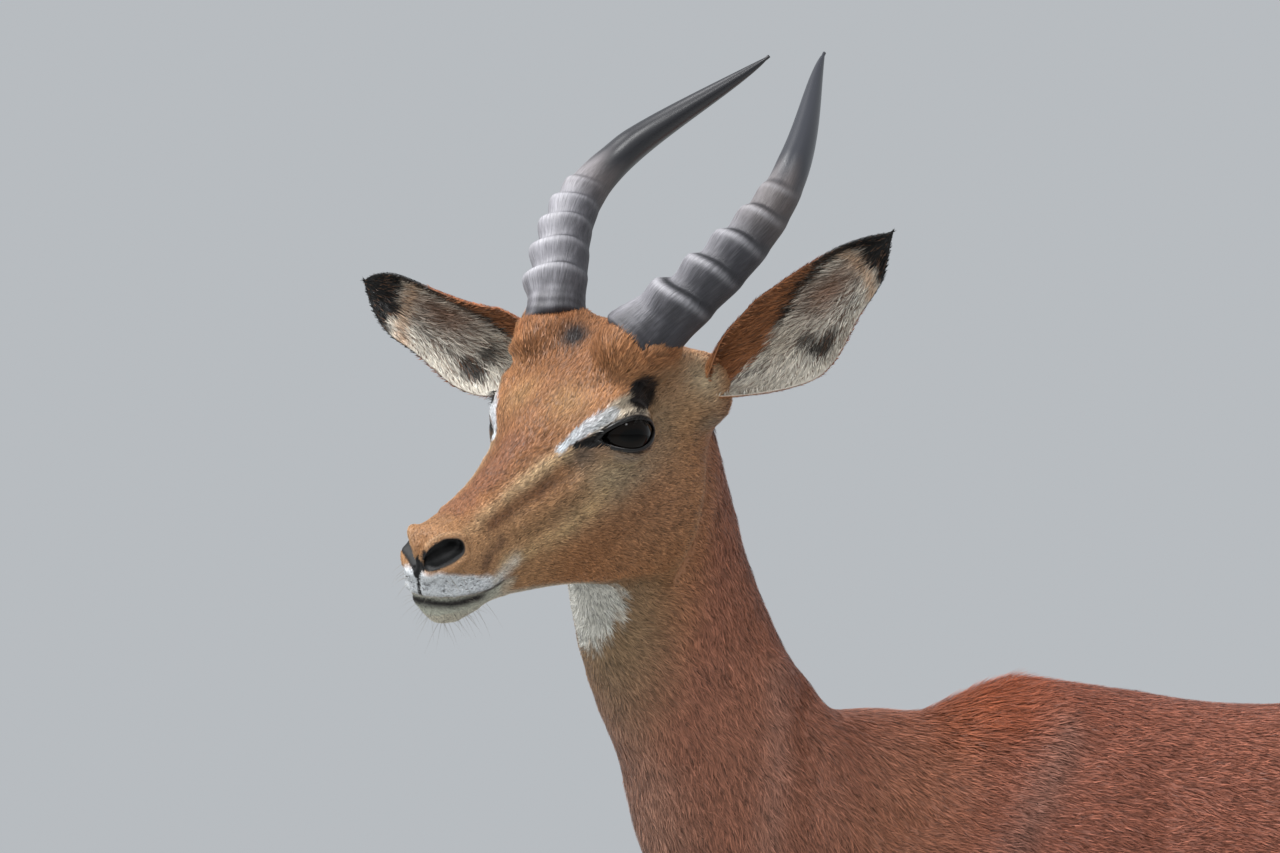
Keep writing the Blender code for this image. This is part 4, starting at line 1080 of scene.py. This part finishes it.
# Tufts are rooted over the hide's triangles, as many on each as its size and the density ask for
chance = np.random.default_rng(7)
facets = skin_at[corners]
facet_areas = np.cross(facets[:, 1] - facets[:, 0], facets[:, 2] - facets[:, 0])
facet_areas = np.linalg.norm(facet_areas, axis=1) / 2
centres = facets.mean(axis=1)
facet_out = unit(skin_normals[corners].sum(axis=1))
facet_kind = kinds[corners].max(axis=1)
facet_bare = nostril_depth[corners].max(axis=1) > -0.5
facet_share, facet_across = ear_shares[corners].mean(axis=1), ear_acrosses[corners].mean(axis=1)
wanted = hair_form(centres, facet_out, facet_kind, facet_share, facet_across)[3]
wanted = np.where(facet_bare, 0, wanted)
running = np.cumsum(wanted * facet_areas * 1e6)
tufts = int(running[-1])
chosen = np.searchsorted(running, np.arange(tufts) + chance.uniform(0.05, 0.95, tufts))
chosen = np.minimum(chosen, len(corners) - 1)
first, second = chance.uniform(size=(2, tufts))
flip = first + second > 1
first = np.where(flip, 1 - first, first)
second = np.where(flip, 1 - second, second)
shares = np.stack([1 - first - second, first, second], axis=1)[:, :, None]
roots = (facets[chosen] * shares).sum(axis=1)
root_out = unit((skin_normals[corners[chosen]] * shares).sum(axis=1))
root_kind = facet_kind[chosen]
root_share = (ear_shares[corners[chosen]] * shares[:, :, 0]).sum(axis=1)
root_across = (ear_acrosses[corners[chosen]] * shares[:, :, 0]).sum(axis=1)
root_map = (unwrap[chosen] * shares).sum(axis=1)
length, width, rise, _ = hair_form(roots, root_out, root_kind, root_share, root_across)
lie = lie_of_hair(roots, root_out, root_kind, root_share, root_across)
stray = np.radians(9) * chance.normal(size=tufts) + np.radians(13) * ripple(roots, 0.03, 21)
lie = lie * np.cos(stray)[:, None] + np.cross(root_out, lie) * np.sin(stray)[:, None]
length = length * chance.uniform(0.7, 1.25, tufts) * MM
width = width * chance.uniform(0.7, 1.3, tufts) * MM
rise = rise * chance.uniform(0.45, 1.15, tufts) * MM
bend = length * 0.12 * chance.normal(size=tufts)
blade_points = blades(roots, root_out, lie, length, width, rise, bend)
root_colours = markings_and_light(roots, root_out, root_kind, root_share, root_across)
tone = 1 + 0.27 * chance.normal(size=tufts) + 0.10 * ripple(roots, 0.012, 31)
tone = tone + 0.20 * ripple(roots, 0.0032, 33)
tone = np.clip(tone, 0.35, 1.8)[:, None]
# each tuft is darker at its root and paler at its tip, less so inside the ears
shade = np.array([0.50, 0.94, 0.94, 1.34])[None, :, None]
# inside the ears some brown hairs stand between the white ones
brown_ones = (root_kind == 2) & (chance.uniform(size=tufts) < 0.12 + 0.25 * bump(root_share, 0.6, 0.2))
root_colours = lay(root_colours, "#5f4636", brown_ones * 0.8)
shade = np.where((root_kind == 2)[:, None, None], shade * 0.4 + 0.62, shade)
blade_colours = np.clip(root_colours[:, None, :] * tone[:, None, :] * shade, 0, 1)
tilt = root_out + 0.26 * chance.normal(size=(tufts, 3)) + lie * 0.10
blade_normals = np.repeat(unit(tilt)[:, None, :], 4, axis=1)

# The coat is parted into regions, and a large region into pieces of fewer than 200,000 triangles
NAMES = ("face", "crown", "ears", "neck", "body_left", "body_right", "legs", "tail")
MOST_TUFTS = 97000
on_front = to_head(roots)[:, 0] > 20
side_of_body = np.where(roots[:, 1] < WITHERS[1], 4, 5)
region_of = np.where(roots[:, 2] < 0.5, 6, np.where(roots[:, 0] < WITHERS[0] - 0.09, 3, side_of_body))
region_of = np.where(head_share(roots) > 0.5, np.where(on_front, 0, 1), region_of)
region_of = np.where(root_kind == 3, 7, np.where(root_kind > 0, 2, region_of))
for region, region_name in enumerate(NAMES):
    members = np.flatnonzero(region_of == region)
    batches = max(1, math.ceil(len(members) / MOST_TUFTS))
    for batch, group in enumerate(np.array_split(members, batches), 1):
        coat_piece(f"coat_{region_name}_{batch}", blade_points[group], blade_normals[group],
                   blade_colours[group], root_map[group])

# ---------------------------------------------------------------------------------------------
# Horns: hollow keratin sheaths over bone, a lyre ringed on its lower half by raised lips that
# step in toward the tip, grained lengthwise, and worn smooth and glossy above the last ring.

# Painted light in the horns' colours: the left horn's ringed part is darker, as painted shade,
# and its worn part lighter, as a painted reflection; each is also painted paler on its lit side.
HORNS = {
    "left": {
        "side": 1, "root": (-7, 33, 37), "thick": 21.6, "taper": 0.64, "flare": 0.38,
        "back": 241, "rise": 108, "rise_power": 0.77, "bow": 0.0,
        "close": 5, "spread": 45, "spread_late": 1.0,
        "first_ring": 0.205, "ring_step": 0.095, "smooth_from": 0.585, "seed": 3,
        "skin_place": (-2, 40, 67), "skin_way": (-0.736, 0.452, 0.504),
        "ringed_colour_as_lit": "#38373d", "worn_colour_as_lit": "#23262f", "pale": 0.55, "lit_turn": 0.75,
    },
    "right": {
        "side": -1, "root": (-14, 32, 40), "thick": 21.0, "taper": 0.66, "flare": 0.0,
        "back": 239, "rise": 94, "rise_power": 0.68, "bow": 4.0,
        "close": 8, "spread": 47, "spread_late": 1.15,
        "first_ring": 0.160, "ring_step": 0.082, "smooth_from": 0.53, "seed": 4,
        "skin_place": (-18.6, 25.2, 62.2), "skin_way": (-0.54, 0.41, 0.73),
        "ringed_colour_as_lit": "#434248", "worn_colour_as_lit": "#14161d", "pale": 0.85, "lit_turn": -0.35,
    },
}
RING_STRENGTH = (1.15, 1.0, 0.95, 0.80, 0.50)
HORN_ROWS, HORN_SIDES = 420, 64


def horn_path(form, t):
    """The curve through the horn's middle, in millimetres of the head, mirrored for the right."""
    x, y, z = form["root"]
    swell = np.maximum(np.sin(np.pi * t ** form["spread_late"]), 0) ** 1.2
    sideways = y + form["spread"] * swell - form["close"] * t
    upward = z + form["rise"] * t ** form["rise_power"] + form["bow"] * np.sin(2 * np.pi * t)
    return np.stack([x - form["back"] * t**1.13, sideways, upward], axis=1)


def ring_faces(rows, columns, closed=False):
    """Four-cornered faces between rings of points; if closed, the last ring meets the first."""
    index = np.arange(rows * columns).reshape(rows, columns)
    nearer = index if closed else index[:-1]
    further = np.roll(index, -1, axis=0) if closed else index[1:]
    faces = np.stack([nearer, np.roll(nearer, -1, axis=1), np.roll(further, -1, axis=1), further], axis=-1)
    return faces.reshape(-1, 4).tolist()


def make_horn(name, form):
    """Rings of points along the horn's path, pushed out where the lips stand, with their colours."""
    t = np.linspace(0, 1, HORN_ROWS) ** 1.02
    path = horn_path(form, t)
    along = unit(np.gradient(path, axis=0))
    across = unit(np.array([0.0, 1.0, 0.0]) - along * along[:, 1:2])
    fore = np.cross(across, along)
    angle = np.linspace(0, 2 * np.pi, HORN_SIDES, endpoint=False)
    share, turn = np.meshgrid(t, angle, indexing="ij")
    chance = np.random.default_rng(form["seed"])
    wander = 0
    for waves in (1, 2, 3):
        wander = wander + chance.uniform(0.2, 1) * np.sin(waves * turn + chance.uniform(0, 6.28) + share * 9)
    front = (0.5 + 0.5 * np.cos(turn - 0.25)) ** 1.5
    lip, shadow, edge = np.zeros_like(share), np.zeros_like(share), np.zeros_like(share)
    for ring, strength in enumerate(RING_STRENGTH):
        crest = form["first_ring"] + ring * form["ring_step"] * (1 - 0.02 * ring) + 0.0042 * wander
        crest = crest - 0.020 * np.cos(turn)
        x = (share - crest) / form["ring_step"]
        climb = np.clip(x + 0.90, 0, 0.90) / 0.90
        fall = 1 - smooth_step(0.02, 0.34, x)
        profile = (0.25 * climb + 0.75 * smooth_step(-0.60, -0.03, x)) * fall * (x > -0.9) * (x < 0.34)
        lip = np.maximum(lip, profile * strength)
        # painted shadow in a band just past each crest, and a painted highlight along the crest, both
        # strongest in front
        shadow = np.maximum(shadow, strength * bump(x, 0.20, 0.10) * (0.25 + 0.75 * front))
        edge = np.maximum(edge, strength * bump(x, 0.0, 0.09) * (0.15 + 0.85 * front))
    # below the first ring the foot flares, lumpy and wrinkled crosswise; fine grain runs the length
    foot = smooth_step(0.16, 0.02, share)
    wrinkle = 0.010 * np.sin(share * 330 + 2.0 * wander) * foot
    grain = 0.003 * np.sin(turn * 23 + 3 * np.sin(share * 21)) * smooth_step(0.70, 0.52, share)
    lump = 0.030 * np.sin(turn * 2 + share * 26) * smooth_step(0.45, 0.1, share)
    flare = form["flare"] * (0.5 + 0.5 * np.cos(turn + 1.05)) ** 2 * bump(share, 0.05, 0.09)
    thick = np.maximum(1.1, form["thick"] * (1 - share) ** form["taper"] * (1 + 0.07 * foot))
    ringed = smooth_step(0.66, 0.58, share)
    lips = lip * (0.01 + 0.33 * front)
    radius = thick * (0.985 - 0.115 * ringed * front + lips + wrinkle + (grain + lump) * ringed + flare)

    def rings(radius, deep=1.0, wide=1.0):
        """Points round the path at a radius, deeper to the fore or wider to the side if asked."""
        forward = fore[:, None] * (np.cos(turn) * radius * deep)[..., None]
        return path[:, None] + forward + across[:, None] * (np.sin(turn) * radius * wide)[..., None]

    # under the skin's edge the horn draws in, so that hide and hair close round its foot
    over_skin = (rings(thick) - form["skin_place"]) @ unit(form["skin_way"])
    radius = radius * (1 - 0.50 * smooth_step(2, -8, over_skin))
    points = np.concatenate([rings(radius, 1.05, 0.95).reshape(-1, 3), path[[0, -1]]])
    points = from_head(points * [1, form["side"], 1])
    count = HORN_ROWS * HORN_SIDES
    first, last = list(range(HORN_SIDES)), list(range(count - HORN_SIDES, count))
    caps = [(a, count, b) for a, b in zip(first, first[1:] + first[:1])]
    caps += [(b, count + 1, a) for a, b in zip(last, last[1:] + last[:1])]
    mesh = bpy.data.meshes.new(name)
    mesh.from_pydata(points.tolist(), [], ring_faces(HORN_ROWS, HORN_SIDES) + caps)
    faced_outward(mesh)
    # colours: the ringed part grey, with a painted shadow past each lip and a painted highlight on its
    # crest, the worn part slate
    share, turn, ringed, front = [grid.ravel() for grid in (share, turn, ringed, front)]
    # painted light: the ringed part paler on the side the lamp lights, darker on the side turned from it
    lit_side = 0.5 + 0.5 * np.cos(turn + form["lit_turn"])
    streak = np.sin(turn * 27 + 5 * np.sin(share * 30)) * 0.4 + np.sin(turn * 9 + share * 55) * 0.6
    colours = all_of(form["ringed_colour_as_lit"], count)
    colours = lay(colours, "#7f7d83", smooth_step(0.0, 1.0, streak) * 0.45 * ringed)
    colours = lay(colours, "#302f35", smooth_step(0.0, 1.0, -streak) * 0.4 * ringed)
    # painted highlight on the lit side, painted shade on the other
    colours = lay(colours, "#a9a7ad", lit_side**3 * form["pale"] * ringed)
    colours = lay(colours, "#2e2d33", (1 - lit_side) * 0.95 * ringed)
    colours = lay(colours, "#6a5f5a", smooth_step(0.36, 0.50, share) * 0.45)
    colours = lay(colours, "#141419", shadow.ravel() * 0.95)
    colours = lay(colours, "#c2c0c5", edge.ravel() * (0.08 + 0.34 * front))
    smooth_from = form["smooth_from"]
    worn = smooth_step(smooth_from - 0.05, smooth_from + 0.07, share + 0.02 * np.sin(turn * 5))
    colours = lay(colours, form["worn_colour_as_lit"], worn * 0.93)
    # painted shade at the foot, where the hair closes round the horn
    colours = lay(colours, "#232126", smooth_step(0.13, 0.04, share + 0.015 * np.sin(turn * 9)) * 0.85)
    store_colours(mesh, np.concatenate([colours, colours[[0, -1]]]))
    share = np.concatenate([share, [0, 1]])
    layer = mesh.attributes.new("polish", "FLOAT", "POINT")
    layer.data.foreach_set("value", smooth_step(smooth_from - 0.07, smooth_from + 0.08, share))
    # a map round and along the horn, which the fine grain follows
    at_corner = mesh_corners(mesh)
    spin = np.concatenate([turn / (2 * np.pi), [0, 0]])[at_corner]
    starts = np.array([p.loop_start for p in mesh.polygons])
    face_of = np.repeat(np.arange(len(starts)), np.diff(np.append(starts, len(at_corner))))
    highest = np.maximum.reduceat(spin, starts)[face_of]
    spin = np.where((highest - spin) > 0.5, spin + 1, spin)
    unrolled = mesh.uv_layers.new(name="round_and_along")
    unrolled.data.foreach_set("uv", np.stack([spin, share[at_corner]], axis=1).ravel())
    mesh.materials.append(horn_material)
    return linked(name, mesh)


# Horn is fibrous where it is ringed, so matt and grained, and takes a dark gloss where it is worn.
# Its grain is drawn about 1 mm wide and 14 mm long, coarser than the real fibres, so that it shows.
horn_material, horn_shader = new_material("keratin horn, grained and worn", "#77757b", 0.5)
tree = horn_material.node_tree
colour_node = add_node(horn_material, "ShaderNodeAttribute", {"attribute_name": "surface_colour"})
polish_node = add_node(horn_material, "ShaderNodeAttribute", {"attribute_name": "polish"})
map_node = add_node(horn_material, "ShaderNodeUVMap", {"uv_map": "round_and_along"})
stretch = add_node(horn_material, "ShaderNodeMapping", {"Scale": (130, 22, 1)},
                   {"Vector": map_node.outputs["UV"]})
fibre = add_node(horn_material, "ShaderNodeTexNoise", {"Scale": 1.0, "Detail": 5.0, "Roughness": 0.65},
                 {"Vector": stretch.outputs["Vector"]})
rough_part = add_node(horn_material, "ShaderNodeMapRange", {"To Min": 1.0, "To Max": 0.0},
                      {"Value": polish_node.outputs["Fac"]})
centred = add_node(horn_material, "ShaderNodeMath", {"operation": "SUBTRACT"})
tree.links.new(fibre.outputs["Fac"], centred.inputs[0])
centred.inputs[1].default_value = 0.5
grain_node = add_node(horn_material, "ShaderNodeMath", {"operation": "MULTIPLY"})
tree.links.new(centred.outputs["Value"], grain_node.inputs[0])
tree.links.new(rough_part.outputs["Result"], grain_node.inputs[1])
darken = add_node(horn_material, "ShaderNodeMapRange",
                  {"From Min": -0.2, "From Max": 0.2, "To Min": 0.55, "To Max": 1.40},
                  {"Value": grain_node.outputs["Value"]})
tinted = add_node(horn_material, "ShaderNodeVectorMath", {"operation": "SCALE"},
                  {"Scale": darken.outputs["Result"]})
tree.links.new(colour_node.outputs["Color"], tinted.inputs[0])
tree.links.new(tinted.outputs["Vector"], horn_shader.inputs["Base Color"])
shine = add_node(horn_material, "ShaderNodeMapRange", {"To Min": 0.0, "To Max": 0.45},
                 {"Value": polish_node.outputs["Fac"]})
tree.links.new(shine.outputs["Result"], horn_shader.inputs["Coat Weight"])
horn_shader.inputs["Coat Roughness"].default_value = 0.33
gloss = add_node(horn_material, "ShaderNodeMapRange", {"To Min": 0.50, "To Max": 0.36},
                 {"Value": polish_node.outputs["Fac"]})
tree.links.new(gloss.outputs["Result"], horn_shader.inputs["Roughness"])
relief = add_node(horn_material, "ShaderNodeBump", {"Strength": 0.7, "Distance": 0.0010},
                  {"Height": grain_node.outputs["Value"]})
tree.links.new(relief.outputs["Normal"], horn_shader.inputs["Normal"])
for horn_side, form in HORNS.items():
    horn = make_horn(f"ringed_horn_{horn_side}", form)
    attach(horn, "root")
    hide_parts(f"horn_{horn_side}")

# ---------------------------------------------------------------------------------------------
# Eyes: wet balls, almost black, with a dark brown iris and a level slot of a pupil. A thin roll
# of bare black skin, the margin of the lids, lies on the ball all round the opening.

# The wet film is as smooth as glass, so the dark ball mirrors the lamps as small sharp lights
eye_material, eye_shader = new_material("wet dark eye", "#0b0706", 0.04)
eye_shader.inputs["Specular IOR Level"].default_value = 0.16
colour_node = add_node(eye_material, "ShaderNodeAttribute", {"attribute_name": "surface_colour"})
eye_material.node_tree.links.new(colour_node.outputs["Color"], eye_shader.inputs["Base Color"])
# The margin is moist black skin: a soft shine runs along it
margin_material, _ = new_material("bare lid margin, moist", "#0f0c0b", 0.28)


def eye_to_head(local, side):
    """From millimetres along the lids, up and out of the left eye to those of the head, either side."""
    return (EYE + np.asarray(local) @ EYE_AXES) * [1, side, 1]


hide_tree = BVHTree.FromPolygons(skin_at.tolist(), corners.tolist())
SIDES = ((1, "left"), (-1, "right"))
BALL_ROWS, BALL_SIDES, ROLL_SIDES = 40, 72, 8
for side, side_name in SIDES:
    turns = np.linspace(0, 2 * np.pi, BALL_SIDES, endpoint=False)
    polar, turn = np.meshgrid(np.linspace(0, np.pi, BALL_ROWS), turns, indexing="ij")
    radius = EYE_RADIUS * (1 + 0.035 * (1 - smooth_step(0.35, 0.85, polar)))
    local = np.stack([radius * np.sin(polar) * np.cos(turn), radius * np.sin(polar) * np.sin(turn),
                      radius * np.cos(polar)], axis=-1).reshape(-1, 3)
    ball_points = from_head(eye_to_head(local, side))
    ball_faces = ring_faces(BALL_ROWS, BALL_SIDES)
    ball = mesh_object(f"eyeball_{side_name}", ball_points, ball_faces, eye_material)
    faced_outward(ball.data, merge=1e-6)
    found = (to_head(mesh_points(ball.data)) * [1, side, 1] - EYE) @ EYE_AXES.T
    off_centre = np.hypot(found[:, 0] - 2.5, found[:, 1])
    colours = all_of("#080605", len(found))
    colours = lay(colours, "#0f0804", (1 - smooth_step(11.0, 12.4, off_centre)) * (found[:, 2] > 0))
    slot = np.hypot((found[:, 0] - 2.5) / 8.0, found[:, 1] / 4.2)
    colours = lay(colours, "#020202", (1 - smooth_step(0.9, 1.1, slot)) * (found[:, 2] > 0))
    store_colours(ball.data, colours)
    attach(ball, "root")
    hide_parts(f"eye_{side_name}")
    # the margin: a thin rounded roll along both lid edges, meeting in the drawn-out inner corner;
    # it lies on the ball, or on the hide where that stands higher
    spread = 0.5 - 0.5 * np.cos(np.linspace(0, np.pi, 60))
    x_up = LID_OUTER + (LID_INNER - LID_OUTER) * spread
    upper, lower = lid_edges(x_up)
    loop = np.concatenate([np.stack([x_up, upper], axis=1), np.stack([x_up, lower], axis=1)[-2:0:-1]])
    seat = []
    for x, y in loop:
        flat = math.hypot(x, y)
        height = math.sqrt(max((EYE_RADIUS + 0.9) ** 2 - flat**2, 0)) if flat < EYE_RADIUS else 0.0
        above = Vector(from_head(eye_to_head([x, y, 34.0], side)))
        inward = Vector((-(EYE_AXES[2] * [1, side, 1])) @ HEAD_AXES)
        hit = hide_tree.ray_cast(above, inward, 0.034)[0]
        if hit is not None:
            place = ((to_head(np.array(hit)[None]) * [1, side, 1] - EYE) @ EYE_AXES.T)[0]
            height = max(height, min(place[2], height + 3.0) if flat < EYE_RADIUS else place[2])
        seat.append((x, y, height))
    seat = np.array(seat)
    for _ in range(3):
        seat[:, 2] = (np.roll(seat[:, 2], 1) + seat[:, 2] * 2 + np.roll(seat[:, 2], -1)) / 4
    way = unit(np.roll(seat, -1, axis=0) - np.roll(seat, 1, axis=0))
    out = unit(seat * [1, 1, 1.4])
    beside = unit(np.cross(way, out))
    ring = []
    for turn in 2 * np.pi * np.arange(ROLL_SIDES) / ROLL_SIDES:
        ring.append(seat + beside * math.cos(turn) * 1.5 + out * math.sin(turn) * 0.8)
    margin_points = from_head(eye_to_head(np.stack(ring, axis=1).reshape(-1, 3), side))
    margin_faces = ring_faces(len(seat), ROLL_SIDES, closed=True)
    margin = mesh_object(f"lid_margin_{side_name}", margin_points, margin_faces, margin_material)
    faced_outward(margin.data)
    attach(margin, "root")

# ---------------------------------------------------------------------------------------------
# Lashes and whiskers: fine tapering hairs, three-sided, set in the skin. Black lashes stand out
# from the upper lids; thin stiff whiskers, each on its own, stand on the chin and lips.

HAIR_RINGS = 5      # rings of three points along each hair


def fine_hairs(name, roots, starts, drops, lengths, thick, material):
    """Tapering curved hairs from their roots, in metres, with the bake's map from the hide below."""
    rings = []
    for step in np.linspace(0, 1, HAIR_RINGS):
        centre = roots + starts * (lengths * step)[:, None] + drops * (lengths * step**2)[:, None]
        way = unit(starts + drops * 2 * step)
        aside = unit(np.cross(way, [0.1, 0.2, 1.0]))
        other = np.cross(way, aside)
        size = thick * max(1 - step, 0.04) / 2
        for angle in (0, 2.094, 4.189):
            rings.append(centre + (aside * math.cos(angle) + other * math.sin(angle)) * size)
    points = np.stack(rings, axis=1)
    one_hair = ring_faces(HAIR_RINGS, 3) + [(2, 1, 0), (12, 13, 14)]
    first_points = np.arange(len(roots)) * HAIR_RINGS * 3
    faces = [[int(first) + i for i in face] for first in first_points for face in one_hair]
    made = mesh_object(name, points.reshape(-1, 3), faces, material)
    faced_outward(made.data)
    below = [hide_tree.find_nearest(root)[2] for root in roots]
    corner = np.stack([np.tile([-0.5, 0, 0.5], HAIR_RINGS),
                       np.repeat(np.linspace(-0.5, 0.5, HAIR_RINGS), 3)], axis=1) * PATCH
    patches = (unwrap[below].mean(axis=1)[:, None, :] + corner).reshape(-1, 2)
    layer = made.data.uv_layers.new(name="OFBake")
    layer.data.foreach_set("uv", patches[mesh_corners(made.data)].ravel())
    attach(made, "root")


# Lashes are black and a little glossy; whiskers are clear pale hair that catches the light
lash_material, _ = new_material("black lashes", "#0d0b0a", 0.4)
whisker_material, _ = new_material("pale whiskers", "#8d877c", 0.45)
LASHES, CHIN_WHISKERS, LIP_WHISKERS = 52, 60, 26
chance = np.random.default_rng(12)
for side, side_name in SIDES:
    x = np.linspace(-17.5, 13, LASHES) + chance.uniform(-0.3, 0.3, LASHES)
    y = lid_edges(x)[0] + chance.uniform(0.2, 1.2, LASHES)
    z = np.sqrt(np.maximum((EYE_RADIUS + 1.2) ** 2 - x**2 - y**2, 4))
    way = np.stack([0.30 - 0.030 * x + chance.normal(0, 0.10, LASHES),
                    0.35 + chance.normal(0, 0.12, LASHES), np.ones(LASHES)], axis=1)
    spring = unit(way) @ EYE_AXES * [1, side, 1] @ HEAD_AXES
    droop = np.tile(np.array([0.25, -0.55, -0.1]), (LASHES, 1)) @ EYE_AXES * [1, side, 1] @ HEAD_AXES
    lash_roots = from_head(eye_to_head(np.stack([x, y, z], axis=1), side))
    lash_lengths = (5.5 + 3.5 * bump(x, -6, 12)) * chance.uniform(0.75, 1.1, LASHES) * MM
    fine_hairs(
        f"upper_lashes_{side_name}", lash_roots, spring, droop, lash_lengths, 0.42 * MM, lash_material)
f, l, u = to_head(skin_at).T
on_chin = (f > 120) & (u < -44) & (kinds == 0)
on_lips = (f > 142) & (u < -20) & (u > -34) & (np.abs(l) > 8) & (kinds == 0)
rows = np.concatenate([chance.choice(np.flatnonzero(on_chin), CHIN_WHISKERS),
                       chance.choice(np.flatnonzero(on_lips), LIP_WHISKERS)])
ways = unit(skin_normals[rows] + chance.normal(0, 0.25, (len(rows), 3)) - HEAD_AXES[0] * 0.25)
sag = np.tile([0, 0, -0.25], (len(rows), 1))
whisker_lengths = [chance.uniform(8, 20, CHIN_WHISKERS), chance.uniform(7, 15, LIP_WHISKERS)]
whisker_lengths = np.concatenate(whisker_lengths) * MM
fine_hairs("whiskers", skin_at[rows], ways, sag, whisker_lengths, 0.26 * MM, whisker_material)

# ---------------------------------------------------------------------------------------------
# Hooves: two claws to a foot, solid black horn that grows down in faint rings. Walking in grass
# keeps them satin; their edges are a little rounded. They close the legs' ends on the ground.

# Hoof horn is dense and dark: its growth rings, about 3 mm apart, show only in the shine
hoof_material, hoof_shader = new_material("black hoof horn", "#15130f", 0.38)
place_node = add_node(hoof_material, "ShaderNodeTexCoord")
bands = add_node(hoof_material, "ShaderNodeTexWave",
                 {"bands_direction": "Z", "Scale": 95.0, "Distortion": 2.5},
                 {"Vector": place_node.outputs["Object"]})
relief = add_node(hoof_material, "ShaderNodeBump", {"Strength": 0.35, "Distance": 0.0005},
                  {"Height": bands.outputs["Fac"]})
hoof_material.node_tree.links.new(relief.outputs["Normal"], hoof_shader.inputs["Normal"])
for node_name in sorted(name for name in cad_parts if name.startswith("hoof")):
    work = merged_copy(node_name)
    bmesh.ops.join_triangles(work, faces=work.faces, angle_face_threshold=0.6, angle_shape_threshold=0.8)
    edges = [e for e in work.edges if e.calc_face_angle(0) > 0.25 and e.calc_length() > 0.001]
    bmesh.ops.bevel(
        work, geom=edges, offset=0.9 * MM, segments=2, profile=0.6, affect="EDGES", clamp_overlap=True)
    claw_mesh = bpy.data.meshes.new(f"claw_{node_name}")
    work.to_mesh(claw_mesh)
    work.free()
    claw_mesh.polygons.foreach_set("use_smooth", np.ones(len(claw_mesh.polygons), bool))
    claw_mesh.materials.append(hoof_material)
    claw = linked(f"claw_{node_name}", claw_mesh)
    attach(claw, "root")
    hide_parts(node_name)
